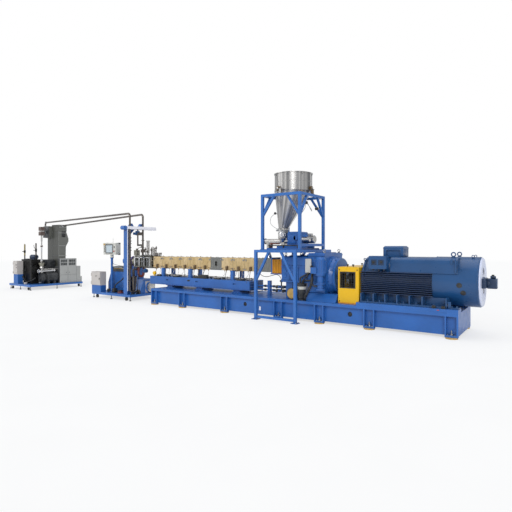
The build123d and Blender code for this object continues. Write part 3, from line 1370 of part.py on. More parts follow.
def pipe_carriers():
    """Triangular brackets on top of the arm."""
    middle = (COLUMN_LEFT + COLUMN_RIGHT) / 2
    pieces = []
    for y in (SUPPLY_Y + 120, RETURN_Y):
        outline = [(y - 75, COLUMN_TOP), (y + 75, COLUMN_TOP), (y + 20, COLUMN_TOP + 85),
                   (y - 20, COLUMN_TOP + 85)]
        pieces.append(profile_x(outline, middle - 40, middle + 60))
    return pieces


def supply_drop():
    """Water pipe down the recess of the column to the pump on the skid."""
    route = [(DROP_X, SUPPLY_Y, OVERHEAD_Z - OVERHEAD_BEND), (DROP_X, SUPPLY_Y, 260),
             (DROP_X, -250, 260)]
    return pipe(route, DROP_RADIUS, 90)


def return_drop():
    """Slurry pipe from the die head's cover plate up to the overhead run."""
    low = DIE_TOP + DIE_PLATE
    high = OVERHEAD_Z - OVERHEAD_BEND
    drop = rod_z(DROP_RADIUS, low, high, DROP_X, RETURN_Y)
    for level in (low, low + 230, low + 460):
        drop += rod_z(DROP_RADIUS + 20, level, level + 18, DROP_X, RETURN_Y)
    drop += block(DROP_X - 50, DROP_X + 50, RETURN_Y - 45, RETURN_Y + 45, low + 90, low + 190)
    return drop


def return_pipes():
    """Return pipe with the bypass beside it."""
    return group([return_drop(), bypass_valve()])


def bypass_valve():
    """Bypass pipe beside the return pipe, with its valve and side actuator."""
    gap = DROP_RADIUS + SEAT
    body = rod_z(22, 1660, ARM_BOTTOM + 40, DROP_X, BYPASS_Y)
    body += rod_y(48, BYPASS_Y - 60, RETURN_Y - gap, DROP_X, BYPASS_Z)
    body += rod_y(38, BYPASS_Y - 150, BYPASS_Y - 60, DROP_X, BYPASS_Z)
    body += rod_y(26, BYPASS_Y, RETURN_Y - gap, DROP_X, 1690)
    return body


def water_chamber():
    """Round water chamber with flanges and a square neck block on top."""
    body = rod_x(CHAMBER_RADIUS - 25, CHAMBER_LEFT, CHAMBER_RIGHT, 0, SCREW_HEIGHT)
    for x in (CHAMBER_LEFT, CHAMBER_RIGHT - 30):
        body += rod_x(CHAMBER_RADIUS, x, x + 30, 0, SCREW_HEIGHT)
    x = CHAMBER_RIGHT - CHAMBER_NECK_INSET
    low = SCREW_HEIGHT + CHAMBER_RADIUS + 20
    body += rod_z(45, SCREW_HEIGHT, low, x, 0)
    body += block(x - 60, x + 60, -70, 70, low, low + CHAMBER_NECK_HEIGHT)
    body += rod_z(30, low + CHAMBER_NECK_HEIGHT, low + CHAMBER_NECK_HEIGHT + 50, x, 0)
    return body


def die_head():
    """Die block with side windows, adapter flange, cover plate and water chamber."""
    half = DIE_HALF_WIDTH
    right = barrel_left()
    body = block(DIE_LEFT, right - 60, -half, half, DIE_BOTTOM, DIE_TOP)
    body = chamfer(body.edges().filter_by(Axis.X), 20)
    for start, end in DIE_WINDOWS:
        for side in (-1, 1):
            y0, y1 = sorted((side * (half + 1), side * (half - DIE_WINDOW_DEPTH)))
            body -= block(DIE_LEFT + start, DIE_LEFT + end, y0, y1, DIE_BOTTOM + 60, DIE_TOP - 70)
    body += block(DIE_LEFT + 60, right - 80, -half - 15, half + 15, DIE_TOP, DIE_TOP + DIE_PLATE)
    body += rod_x(165, right - 60, right, 0, SCREW_HEIGHT)
    body += rod_x(205, right - 75, right - 40, 0, SCREW_HEIGHT)
    return body + water_chamber()


def die_cylinders():
    """Upright diverter cylinder and accumulator on the die block's cover plate."""
    top = DIE_TOP + DIE_PLATE
    x = DIVERTER_X
    first = rod_z(46, top + 60, DIVERTER_TOP, x, -20)
    first += rod_z(16, top, top + 60, x, -20)
    first += rod_z(54, DIVERTER_TOP - 40, DIVERTER_TOP, x, -20)
    first += block(x - 60, x + 60, -80, 40, top, top + 30)
    x = ACCUMULATOR_X
    second = rod_z(60, top, ACCUMULATOR_TOP, x, 40)
    second += rod_z(70, top + 90, top + 120, x, 40)
    return group([first, second])


def cutter_motor():
    """Cutter drive motor on its cradle."""
    x1 = CHAMBER_LEFT
    body = rod_x(CUTTER_RADIUS, CUTTER_LEFT + 60, x1 - 120, 0, SCREW_HEIGHT)
    body += rod_x(CUTTER_RADIUS - 15, CUTTER_LEFT, CUTTER_LEFT + 60, 0, SCREW_HEIGHT)
    body += rod_x(80, x1 - 120, x1, 0, SCREW_HEIGHT)
    body += block(CUTTER_LEFT + 120, x1 - 160, -110, 110, CONSOLE_TOP + 22, SCREW_HEIGHT)
    return body


def cutter_carriage():
    """Trapezoid carriage that bears the water chamber, with a saddle on two posts."""
    low = SKID_TOP
    outline = [(-180, low), (420, low), (420, CARRIAGE_TOP), (-40, CARRIAGE_TOP)]
    body = profile_x(outline, CARRIAGE_LEFT, CARRIAGE_RIGHT)
    under = SCREW_HEIGHT - CHAMBER_RADIUS
    for x in (CHAMBER_LEFT + 45, CHAMBER_RIGHT - 85):
        body += block(x, x + 40, 0, 60, CARRIAGE_TOP, under + 20)
    body += block(CHAMBER_LEFT + 40, CHAMBER_RIGHT - 40, -70, 90, under - 40, under + 30)
    body -= rod_x(CHAMBER_RADIUS + SEAT, CHAMBER_LEFT - 1, CHAMBER_RIGHT + 1, 0, SCREW_HEIGHT)
    return body + blower()


def blower():
    """Round blower with a domed end on the face of the carriage."""
    x0 = CARRIAGE_RIGHT
    body = rod_x(BLOWER_RADIUS, x0, x0 + 45, BLOWER_Y, BLOWER_Z)
    body = chamfer(body.edges().group_by(Axis.X)[-1], 15)
    return body + rod_x(60, x0 + 45, x0 + 65, BLOWER_Y, BLOWER_Z)


def water_pot():
    """Tapered water pot with a flange, behind the column."""
    x, y = WATER_POT_X, WATER_POT_Y
    pot = cone_z(WATER_POT_RADIUS - 35, WATER_POT_RADIUS, 300, WATER_POT_TOP - 160, x, y)
    pot += rod_z(WATER_POT_RADIUS, WATER_POT_TOP - 160, WATER_POT_TOP, x, y)
    pot += rod_z(WATER_POT_RADIUS + 15, WATER_POT_TOP - 20, WATER_POT_TOP, x, y)
    pot += rod_z(50, SKID_TOP, 310, x - 20, y)
    pot += rod_z(26, WATER_POT_TOP, DIE_BOTTOM - 120, x, y)
    elbow = pipe([(x, y, DIE_BOTTOM - 120), (x, y, DIE_BOTTOM - 45), (x, -150, DIE_BOTTOM - 45),
                  (x, -150, DIE_BOTTOM)], 26, 38)
    return pot + elbow


def water_set():
    """Water pot and pump on the pelletiser skid."""
    return group([water_pot(), water_pump()])


def water_pump():
    """Small pump set that the supply pipe runs to."""
    x, y, z = DROP_X, PUMP_BOX_Y, 260
    pump = rod_y(62, -250, -190, x, z)
    pump += rod_y(48, -190, -185 + 5, x, z)
    pump += block(x - 70, x + 70, -245, -190, SKID_TOP, z - 10)
    return pump


def dryer_skid():
    """Skid under the dryer."""
    return skid_frame(DRYER_LEFT, DRYER_RIGHT, DRYER_FRONT, DRYER_BACK, DRYER_BOTTOM, DRYER_TOP)


def dryer_feet():
    """Levelling feet round the dryer skid."""
    edge = 45
    middle = (DRYER_FRONT + DRYER_BACK) / 2
    places = [(x, y) for x in (DRYER_LEFT + edge, DRYER_RIGHT - edge)
              for y in (DRYER_FRONT + edge, middle, DRYER_BACK - edge)]
    places.append(((DRYER_LEFT + DRYER_RIGHT) / 2, DRYER_FRONT + edge))
    return [jack_foot(x, y, DRYER_BOTTOM) for x, y in places]


def dryer_casters():
    """Casters of the dryer skid, parked with the feet down."""
    return [caster(x, y, DRYER_BOTTOM) for x in (DRYER_LEFT + 200, DRYER_RIGHT - 200)
            for y in (DRYER_FRONT + 50, DRYER_BACK - 50)]


def dryer_stands():
    """Feet and casters of the dryer skid."""
    return group(dryer_feet() + dryer_casters())


def dryer_cabinet():
    """Switch cabinet at the front of the dryer skid."""
    return cabinet_body(DRYER_CABINET_X, DRYER_FRONT, DRYER_TOP, DRYER_CABINET_SPLIT, DRYER_CABINET_TOP,
                        DRYER_CABINET_WIDTH, CABINET_DEPTH)


def dryer_cabinet_door():
    """Door of the dryer's switch cabinet."""
    return cabinet_door(DRYER_CABINET_X, DRYER_FRONT, DRYER_CABINET_SPLIT, DRYER_CABINET_TOP,
                        DRYER_CABINET_WIDTH)


def water_tank():
    """Thin-walled tempered water tank with rounded corners, on two beams."""
    tank = block(TANK_LEFT, TANK_RIGHT, TANK_FRONT, TANK_BACK, TANK_BOTTOM, TANK_TOP)
    tank = fillet(tank.edges().filter_by(Axis.Z), 50)
    wall = TANK_WALL
    inside = block(TANK_LEFT + wall, TANK_RIGHT - wall, TANK_FRONT + wall, TANK_BACK - wall,
                   TANK_BOTTOM + wall, TANK_TOP + 1)
    tank -= fillet(inside.edges().filter_by(Axis.Z), 50 - wall)
    for x in (TANK_LEFT + 90, TANK_RIGHT - 170):
        tank += block(x, x + 80, TANK_FRONT + 40, TANK_BACK - 40, DRYER_TOP, TANK_BOTTOM)
    return tank + tank_manhole()


def tank_cover():
    """Flat tank cover with a raised rim."""
    cover = block(TANK_LEFT - 12, TANK_RIGHT + 12, TANK_FRONT - 12, TANK_BACK + 12, TANK_TOP, TANK_TOP + 12)
    cover = fillet(cover.edges().filter_by(Axis.Z), 50)
    cover += block(TANK_LEFT + 120, TANK_LEFT + 330, TANK_FRONT + 60, TANK_BACK - 60, TANK_TOP + 12,
                   TANK_TOP + 40)
    for stack in tank_stacks():
        cover += stack
    return cover


def tank_manhole():
    """Round bolted cover on the end of the tank with its collar and sight pipe."""
    middle = (TANK_FRONT + TANK_BACK) / 2
    x = TANK_RIGHT
    hole = rod_x(MANHOLE_RADIUS - 35, x, x + 30, middle, MANHOLE_Z)
    return hole + rod_x(MANHOLE_RADIUS - 15, x + 30, x + 55, middle, MANHOLE_Z)


def tank_stacks():
    """Upright pipes with valves on the tank cover."""
    base = TANK_TOP + 12
    pieces = []
    for x, y, top in ((TANK_LEFT + 60, TANK_FRONT + 110, 1740), (TANK_RIGHT - 50, TANK_FRONT + 210, 1790)):
        stack = rod_z(STACK_RADIUS, base, top, x, y)
        stack += rod_z(STACK_RADIUS + 22, base, base + 14, x, y)
        stack += rod_z(STACK_RADIUS + 14, top - 330, top - 230, x, y)
        stack += rod_y(9, y - 85, y, x, top - 280)
        stack += block(x - 12, x + 80, y - 97, y - 83, top - 290, top - 270)
        pieces.append(stack)
    return pieces


def heater_motor():
    """Dark pump motor lying on the tank cover."""
    z = TANK_TOP + 12 + 95
    y = TANK_BACK - 120
    body = rod_x(88, TANK_RIGHT - 430, TANK_RIGHT - 130, y, z)
    body += rod_x(60, TANK_RIGHT - 470, TANK_RIGHT - 430, y, z)
    body += block(TANK_RIGHT - 400, TANK_RIGHT - 180, y - 70, y + 70, TANK_TOP + 12, z)
    return body


def dryer_housing():
    """Lower housings of the dryer: main box, low box and fan box with louvres."""
    body = block(HOUSING_LEFT, HOUSING_RIGHT, HOUSING_FRONT, HOUSING_BACK, DRYER_TOP, HOUSING_TOP)
    body += block(HOUSING_LEFT + 100, HOUSING_RIGHT, HOUSING_BACK, LOW_BOX_BACK, DRYER_TOP, LOW_BOX_TOP)
    body += block(LOUVRE_BOX_LEFT, HOUSING_RIGHT, HOUSING_FRONT, LOUVRE_BOX_BACK, HOUSING_TOP,
                  LOUVRE_BOX_TOP)
    span = LOUVRE_BOX_BACK - HOUSING_FRONT
    for part in (0, 1):
        for column in range(3):
            y = HOUSING_FRONT + span * (0.5 * part + 0.06) + column * 95
            for row in range(2):
                z = HOUSING_TOP + 60 + row * 125
                body -= block(HOUSING_RIGHT - 25, HOUSING_RIGHT + 1, y, y + 70, z, z + 90)
    return body


def dryer_tower():
    """Upright dryer case with a bulged middle and a square head."""
    w = TOWER_BACK
    outline = [(TOWER_FRONT, HOUSING_TOP), (w - 40, HOUSING_TOP), (w - 20, TOWER_BULGE_Z - 330),
               (w + TOWER_BULGE, TOWER_BULGE_Z - 120), (w + TOWER_BULGE, TOWER_BULGE_Z), (w, TOWER_TOP - 300),
               (w, TOWER_TOP), (TOWER_FRONT, TOWER_TOP)]
    tower = profile_x(outline, TOWER_LEFT, TOWER_RIGHT)
    tower += block(TOWER_LEFT - TOWER_BAND_THICK, TOWER_RIGHT + TOWER_BAND_THICK,
                   TOWER_FRONT - TOWER_BAND_THICK, w + TOWER_BAND_THICK, TOWER_TOP - TOWER_BAND,
                   TOWER_TOP)
    port = block(TOWER_RIGHT - 60, TOWER_RIGHT + 7, TOWER_FRONT + 120, w - 60, TOWER_TOP - 500,
                 TOWER_TOP - 320)
    tower -= port
    return tower + tower_side_case() + tower_hood()


def tower_side_case():
    """Narrow case beside the tower, from the skid up to the hood."""
    front, back = TOWER_FRONT + 30, TOWER_BACK - 40
    case = block(SIDE_CASE_LEFT, TOWER_LEFT, front, back, HOUSING_TOP, HOOD_Z)
    return case + block(SIDE_CASE_LEFT, HOUSING_LEFT - SEAT, front, back, DRYER_TOP, HOUSING_TOP)


def tower_hood():
    """Rounded fan hood on the side of the tower's head."""
    y0, y1 = HOOD_FRONT, TOWER_BACK - 30
    low, high = HOOD_Z - HOOD_HALF_HEIGHT, HOOD_Z + HOOD_HALF_HEIGHT
    hood = block(HOOD_LEFT, TOWER_LEFT - 6, y0, y1, low, high)
    edges = hood.edges().filter_by(Axis.Y).group_by(Axis.X)[0]
    hood = fillet(edges.sort_by(Axis.Z)[:1], HOOD_RADIUS)
    hood = fillet(hood.edges().filter_by(Axis.Y).sort_by(Axis.Z)[-2:].sort_by(Axis.X)[:1], 60)
    return hood + block(TOWER_LEFT - 6, TOWER_LEFT, TOWER_FRONT, y1, low, TOWER_TOP - TOWER_BAND)


def dryer_drum():
    """Dark round-topped drum case in front of the dryer's main housing."""
    case = block(DRUM_LEFT, DRUM_RIGHT, DRUM_FRONT, HOUSING_FRONT - SEAT, DRYER_TOP, DRUM_TOP)
    case = fillet(case.edges().filter_by(Axis.Y).group_by(Axis.Z)[-1], 120)
    case += rod_y(150, DRUM_FRONT - 30, DRUM_FRONT, (DRUM_LEFT + DRUM_RIGHT) / 2, PUMP_Z + 260)
    return case


def circulation_pump():
    """Horizontal pump with its motor, volute and feet."""
    x, z = PUMP_AXIS_X, PUMP_Z
    body = rod_y(PUMP_RADIUS, PUMP_FRONT + 80, PUMP_BACK - 60, x, z)
    body += rod_y(PUMP_RADIUS - 25, PUMP_BACK - 60, PUMP_BACK, x, z)
    body += rod_y(PUMP_RADIUS - 60, PUMP_FRONT, PUMP_FRONT + 80, x, z)
    body += rod_y(PUMP_RADIUS - 10, PUMP_FRONT - 110, PUMP_FRONT, x, z)
    body += block(x - 130, x + 130, PUMP_FRONT + 120, PUMP_FRONT + 200, DRYER_TOP, z)
    body += block(x - 130, x + 130, PUMP_BACK - 170, PUMP_BACK - 90, DRYER_TOP, z)
    body += block(x - 70, x + 70, 40, 190, z, z + PUMP_RADIUS + 60)
    return body


def pump_piping():
    """Bright suction and pressure pipes of the pump with their strainer."""
    x = PUMP_AXIS_X
    y = PUMP_FRONT - 55
    top = PUMP_Z + PUMP_RADIUS - 10
    riser = rod_z(40, top + SEAT - 12, 820, x, y)
    riser += rod_z(75, 820, 840, x, y)
    riser += cone_z(75, 40, 840, 1010, x, y)
    riser += rod_z(STACK_RADIUS, 1010, RISER_TOP, x, y)
    riser -= rod_y(PUMP_RADIUS - 10 + SEAT, PUMP_FRONT - 120, PUMP_FRONT + 1, x, PUMP_Z)
    side = rod_y(34, y + 42, HOUSING_FRONT, x - 30, 760)
    side += rod_y(62, y + 60, y + 80, x - 30, 760)
    side += rod_x(34, x - 30, x, y + 70, 760)
    return group([riser + riser_valve(), side])


def riser_valve():
    """Valve with a box actuator on the riser near the overhead pipe."""
    x, y = PUMP_AXIS_X, PUMP_FRONT - 55
    half = RISER_VALVE_SIDE / 2
    body = rod_z(30, RISER_TOP, RISER_VALVE_BOTTOM, x, y)
    body += block(x - half, x + half, y - half, y + half, RISER_VALVE_BOTTOM, RISER_VALVE_TOP)
    return body


def supply_overhead():
    """Upper pipe from the tower's hood over to the column."""
    low = HOOD_Z + HOOD_HALF_HEIGHT
    route = [(SUPPLY_END_X, SUPPLY_END_Y, low), (SUPPLY_END_X, SUPPLY_END_Y, OVERHEAD_Z),
             (DROP_X, SUPPLY_Y, OVERHEAD_Z), (DROP_X, SUPPLY_Y, OVERHEAD_Z - OVERHEAD_BEND)]
    return pipe(route, OVERHEAD_RADIUS, OVERHEAD_BEND - 20)


def return_overhead():
    """Pipe from the die head's side, falling slightly to the upper side of the tower."""
    inside = TOWER_RIGHT - OVERHEAD_RADIUS
    route = [(inside, RETURN_END_Y, RETURN_END_Z), (DROP_X, RETURN_Y, OVERHEAD_Z),
             (DROP_X, RETURN_Y, OVERHEAD_Z - OVERHEAD_BEND)]
    line = pipe(route, OVERHEAD_RADIUS, OVERHEAD_BEND - 20)
    return line - block(TOWER_LEFT, TOWER_RIGHT + TOWER_BAND_THICK, TOWER_FRONT, TOWER_BACK,
                        RETURN_END_Z - OVERHEAD_BEND, TOWER_TOP)


def overhead_pipes():
    """Both pipes between the pelletiser and the dryer."""
    return group([supply_overhead(), return_overhead()])


PIECES = (
    base_frame,
    levelling_pads,
    barrel_run,
    barrel_covers,
    heater_terminals,
    support_girder,
    barrel_supports,
    lantern_housing,
    lantern_guard,
    gearbox_housing,
    gearbox_pedestals,
    coupling_guard,
    guard_meshes,
    drive_coupling,
    motor_housing,
    motor_feet,
    motor_casing,
    side_boxes,
    motor_end_cover,
    encoder_unit,
    lube_pump,
    oil_set,
    cooling_pipes,
    lower_frame,
    upper_frame,
    feeder_platform,
    hopper_shell,
    hopper_lid,
    feeder_body,
    feeder_trough,
    feeder_motor,
    pelletiser_skid,
    pelletiser_stands,
    pelletiser_cabinet,
    pelletiser_cabinet_door,
    console,
    panel_post,
    control_panel,
    gantry,
    gantry_arm,
    supply_drop,
    return_pipes,
    die_head,
    die_cylinders,
    cutter_motor,
    cutter_carriage,
    water_set,
    dryer_skid,
    dryer_stands,
    dryer_cabinet,
    dryer_cabinet_door,
    water_tank,
    tank_cover,
    heater_motor,
    dryer_housing,
    dryer_tower,
    dryer_drum,
    circulation_pump,
    pump_piping,
    overhead_pipes,
)


def main():
    """Build every piece and write it to its own file."""
    os.makedirs("parts", exist_ok=True)
    for make in PIECES:
        export_step(make(), "parts/" + make.__name__ + ".step")


main()
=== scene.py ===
"""Looks of a plastic compounding extruder line: paint, bare metal, fasteners and small fittings."""
import math
from itertools import product

import bmesh
import bpy
from bpy.props import FloatProperty, FloatVectorProperty, PointerProperty
from mathutils import Matrix, Vector


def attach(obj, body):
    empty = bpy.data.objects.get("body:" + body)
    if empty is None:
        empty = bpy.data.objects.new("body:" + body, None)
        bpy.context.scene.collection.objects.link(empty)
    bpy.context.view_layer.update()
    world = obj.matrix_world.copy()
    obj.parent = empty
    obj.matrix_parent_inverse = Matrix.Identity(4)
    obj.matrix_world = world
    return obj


bl_info = {
    "name": "Extruder line dressing",
    "version": (1, 0, 0),
    "blender": (4, 5, 0),
    "location": "View3D > Sidebar > Extruder",
    "description": "Finishes and small fittings of a plastic compounding extruder line",
    "category": "Object",
}

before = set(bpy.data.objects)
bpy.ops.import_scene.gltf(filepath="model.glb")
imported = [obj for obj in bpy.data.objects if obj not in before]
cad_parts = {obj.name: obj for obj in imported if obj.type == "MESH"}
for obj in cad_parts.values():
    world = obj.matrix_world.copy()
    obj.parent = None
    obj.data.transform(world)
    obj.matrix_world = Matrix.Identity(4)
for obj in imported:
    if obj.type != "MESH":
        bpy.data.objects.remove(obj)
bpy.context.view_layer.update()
MM = 0.001
HOPPER_X, HOPPER_Y = 0.355, -0.080
OUTLET_X, OUTLET_Y = 0.030, 0.0
WAIST_Z, OUTLET_Z = 2.930, 2.050


def linear(hex_colour):
    """Linear RGB of an sRGB hex colour."""
    parts = [int(hex_colour[i:i + 2], 16) / 255 for i in (1, 3, 5)]
    return [c / 12.92 if c <= 0.04045 else ((c + 0.055) / 1.055) ** 2.4 for c in parts]


def colour_prop(name, hex_colour, about):
    """Colour property with a default given as sRGB hex."""
    return FloatVectorProperty(name=name, description=about, subtype="COLOR", size=3, min=0, max=1,
                               default=linear(hex_colour))


class ExtruderColours(bpy.types.PropertyGroup):
    """Paint and metal colours of the line."""
    machine_blue: colour_prop("Machine blue", "#2560AA", "Satin paint of frames and gearbox")
    motor_blue: colour_prop("Motor blue", "#19497A", "Darker paint of the main motor")
    cover_gold: colour_prop("Cover gold", "#D0B47E", "Heater covers of the barrel")
    steel: colour_prop("Steel", "#8E8F8C", "Bare machined barrels")
    stainless: colour_prop("Stainless", "#D8D5D1", "Hopper sheet and bright pipes")
    guard_yellow: colour_prop("Guard yellow", "#E8B600", "Coupling guard")
    lantern_yellow: colour_prop("Lantern yellow", "#E29C18", "Corrugated lantern guard")
    pad_tan: colour_prop("Pad tan", "#C9A45A", "Levelling pads")
    dark_iron: colour_prop("Dark iron", "#1D2126", "Pumps and dark castings")
    cabinet_gray: colour_prop("Cabinet gray", "#BDB8B4", "Switch cabinet doors and console")
    dryer_gray: colour_prop("Dryer gray", "#A6A7A5", "Dryer housings")
    panel_white: colour_prop("Panel white", "#C4C4BE", "Control panel and motor end disc")
    floor_white: colour_prop("Floor white", "#FFFFFF", "Studio floor and backdrop")


class ExtruderSizes(bpy.types.PropertyGroup):
    """Sizes of fasteners and fittings."""
    module_bolt: FloatProperty(name="Barrel bolt", description="Head width of the barrel bolts",
                               default=24 * MM, unit="LENGTH")
    frame_bolt: FloatProperty(name="Frame bolt", description="Head width of the frame's bolts",
                              default=36 * MM, unit="LENGTH")
    anchor_bolt: FloatProperty(name="Anchor bolt", description="Nut width of the floor anchors",
                               default=40 * MM, unit="LENGTH")
    wire: FloatProperty(name="Wire", description="Thickness of thermocouple and heater wires",
                        default=8 * MM, unit="LENGTH")
    lens: FloatProperty(name="Lens", description="Focal length on a 36 mm frame, in mm", default=29.4,
                        min=10, max=200)
    lamp_share: FloatProperty(name="Lamp share", description="Strength of the soft lamps, 1 is normal",
                              default=0.8, min=0, max=4)


def colours():
    """Colours in use."""
    return bpy.context.scene.extruder_colours


def sizes():
    """Sizes in use."""
    return bpy.context.scene.extruder_sizes


def add_node(tree, kind, settings=None, inputs=None):
    """Shader node with its settings, and with a value or a socket for each input."""
    node = tree.nodes.new("ShaderNode" + kind)
    for key, value in (settings or {}).items():
        setattr(node, key, value)
    for key, value in (inputs or {}).items():
        if isinstance(value, bpy.types.NodeSocket):
            tree.links.new(value, node.inputs[key])
        else:
            node.inputs[key].default_value = value
    return node


def new_material(name):
    """Empty node material and its tree."""
    material = bpy.data.materials.new(name)
    material.use_nodes = True
    material.node_tree.nodes.clear()
    return material, material.node_tree


def new_finish(name, edge_width):
    """Empty material, its tree, the normal of its rounded edges and a mask of them."""
    material, tree = new_material(name)
    bevel = add_node(tree, "Bevel", {"samples": 4}, {"Radius": edge_width})
    flat = add_node(tree, "NewGeometry")
    match = add_node(tree, "VectorMath", {"operation": "DOT_PRODUCT"},
                     {0: bevel.outputs["Normal"], 1: flat.outputs["Normal"]})
    return material, tree, bevel.outputs["Normal"], span(tree, match.outputs["Value"], 0.97, 0.78)


def shade(tree, colour, roughness, normal, metallic=0.0, coat=0.0):
    """Principled surface at the end of a node tree."""
    surface = add_node(tree, "BsdfPrincipled", inputs={
        "Base Color": colour, "Roughness": roughness, "Normal": normal, "Metallic": metallic,
        "Coat Weight": coat, "Coat Roughness": 0.12, "IOR": 1.5})
    add_node(tree, "OutputMaterial", inputs={"Surface": surface.outputs["BSDF"]})


def calc(tree, operation, first, second=0.0):
    """Result of a sum on two values."""
    return add_node(tree, "Math", {"operation": operation}, {0: first, 1: second}).outputs["Value"]


def mix(tree, factor, first, second):
    """Mix of two colours."""
    return add_node(tree, "Mix", {"data_type": "RGBA"}, {0: factor, 6: first, 7: second}).outputs[2]


def noise(tree, scale, stretch=(1, 1, 1), detail=3.0, roughness=0.5):
    """Noise value on Object coordinates, in patterns per metre."""
    place = add_node(tree, "TexCoord").outputs["Object"]
    turn = add_node(tree, "Mapping", inputs={"Vector": place, "Scale": stretch}).outputs["Vector"]
    return add_node(tree, "TexNoise", inputs={"Vector": turn, "Scale": scale, "Detail": detail,
                                              "Roughness": roughness}).outputs["Fac"]


def span(tree, value, low, high, to_low=0.0, to_high=1.0):
    """Value mapped from one range to another and clamped."""
    return add_node(tree, "MapRange", inputs={"Value": value, "From Min": low, "From Max": high,
                                              "To Min": to_low, "To Max": to_high}).outputs["Result"]


def relief(tree, height, strength, depth, normal):
    """Normal of fine relief on top of the rounded edges."""
    return add_node(tree, "Bump", inputs={"Strength": strength, "Distance": depth, "Height": height,
                                          "Normal": normal}).outputs["Normal"]


def rubbed(tree, tone, edge, share, pale):
    """Tone with paler, rubbed edges."""
    return mix(tree, span(tree, edge, 0.0, 1.0, 0.0, share), tone, rgba(pale))


def paint_corner_shade(tree, tone, dark, reach, share, low=0.1, high=0.8):
    """Tone with painted shade darkening its corners, as far out as a reach."""
    corner = add_node(tree, "AmbientOcclusion", {"samples": 4}, {"Distance": reach})
    return mix(tree, span(tree, corner.outputs["AO"], low, high, share, 0.0), tone, rgba(dark))


def rgba(colour, share=1.0):
    """Colour as RGBA, made darker by a share."""
    return darker(colour, share) + [1.0]


def darker(colour, share):
    """Colour moved towards black."""
    return [c * share for c in colour]


def lighter(colour, share):
    """Colour moved towards white."""
    return [c + (1 - c) * share for c in colour]


def place_parts(tree):
    """X, Y and Z of a point, in metres."""
    place = add_node(tree, "TexCoord").outputs["Object"]
    return add_node(tree, "SeparateXYZ", inputs={"Vector": place}).outputs


def facing_parts(tree):
    """X, Y and Z of the way that a surface faces."""
    way = add_node(tree, "NewGeometry").outputs["Normal"]
    return add_node(tree, "SeparateXYZ", inputs={"Vector": way}).outputs


def below(level):
    """Mask of everything under a height."""
    return lambda tree: span(tree, place_parts(tree)["Z"], level - 2 * MM, level + 2 * MM, 1.0, 0.0)


def front_shade_mask(tree):
    """Mask of the sheets that face the operator's side, where the paint takes painted shade."""
    return span(tree, facing_parts(tree)["Y"], -0.75, -0.35, 1.0, 0.0)


def fin_shade_zone(tree):
    """Mask of the cooling fins at both sides of the motor core, where painted shade darkens the paint.
    """
    place = place_parts(tree)
    sides = span(tree, calc(tree, "ABSOLUTE", place["Y"]), 0.40, 0.41)
    ahead = span(tree, place["X"], 3.518, 3.522, 1.0, 0.0)
    low = span(tree, place["Z"], 1.131, 1.133, 1.0, 0.0)
    return calc(tree, "MULTIPLY", calc(tree, "MULTIPLY", sides, ahead), low)


def sprayed_paint(name, colour, roughness=0.36, cloud=0.10, edge_light=0.22, corner_shade_share=0.35, second=None,
                  mask=None):
    """Alkyd machine enamel, sprayed: soft sheen, faint orange peel, paler edges, painted shade in
    corners.
    """
    material, tree, rounded, edge = new_finish(name, 4 * MM)
    # Orange peel of spray paint is 2 to 4 mm wide: 300 patterns a metre.
    normal = relief(tree, noise(tree, 300, detail=2.0), 0.08, 1 * MM, rounded)
    # Uneven coats show as clouds about half a metre across.
    patch = span(tree, noise(tree, 2.2, detail=4.0), 0.35, 0.7)
    tone = mix(tree, patch, rgba(colour, 1 - cloud), rgba(colour, 1 + cloud))
    if mask:
        tone = mix(tree, mask(tree), tone, rgba(second))
    tone = rubbed(tree, tone, edge, edge_light, lighter(colour, 0.55))
    # Painted shade: the corners darken towards a deep tone of the paint.
    tone = paint_corner_shade(tree, tone, [c * 0.28 + 0.012 for c in colour], 60 * MM, corner_shade_share, 0.15, 0.85)
    sheen = span(tree, noise(tree, 9), 0.3, 0.7, roughness - 0.06, roughness + 0.08)
    shade(tree, tone, sheen, normal, coat=0.12)
    return material


def powder_coat(name, colour, roughness=0.5, second=None, mask=None):
    """Polyester powder coat: even, faintly pebbled, with a soft shine."""
    material, tree, rounded, edge = new_finish(name, 3 * MM)
    # Powder coat texture is about 1 mm wide, drawn at 3 mm so that it shows.
    normal = relief(tree, noise(tree, 330), 0.12, 0.6 * MM, rounded)
    tone = mix(tree, span(tree, noise(tree, 3), 0.3, 0.7), rgba(colour, 0.95), rgba(colour, 1.04))
    if mask:
        tone = mix(tree, mask(tree), tone, rgba(second))
    tone = rubbed(tree, tone, edge, 0.3, lighter(colour, 0.4))
    # Painted shade darkens the corners.
    shade(tree, paint_corner_shade(tree, tone, darker(colour, 0.3), 50 * MM, 0.4), roughness, normal)
    return material


def brushed_metal(name, colour, stretch, roughness=0.3, contrast=0.25):
    """Ground or rolled steel: fine lines one way that smear the light, with handling marks."""
    material, tree, rounded, edge = new_finish(name, 2 * MM)
    # Grinding lines are under 1 mm apart, drawn about 5 mm apart so that they show.
    lines = noise(tree, 90, stretch, detail=5.0)
    bands = noise(tree, 7, stretch, detail=2.0)
    normal = relief(tree, lines, 0.10, 0.4 * MM, rounded)
    tone = mix(tree, span(tree, lines, 0.35, 0.65), rgba(colour, 1 - contrast),
               rgba(colour, 1 + 0.4 * contrast))
    tone = mix(tree, span(tree, bands, 0.35, 0.65, 0.0, 0.6), tone, rgba(colour, 1 - 1.6 * contrast))
    tone = rubbed(tree, tone, edge, 0.4, lighter(colour, 0.4))
    rough = span(tree, bands, 0.3, 0.7, roughness - 0.06, roughness + 0.12)
    # Painted shade darkens the corners.
    shade(tree, paint_corner_shade(tree, tone, darker(colour, 0.2), 40 * MM, 0.6), rough, normal, metallic=1.0)
    return material


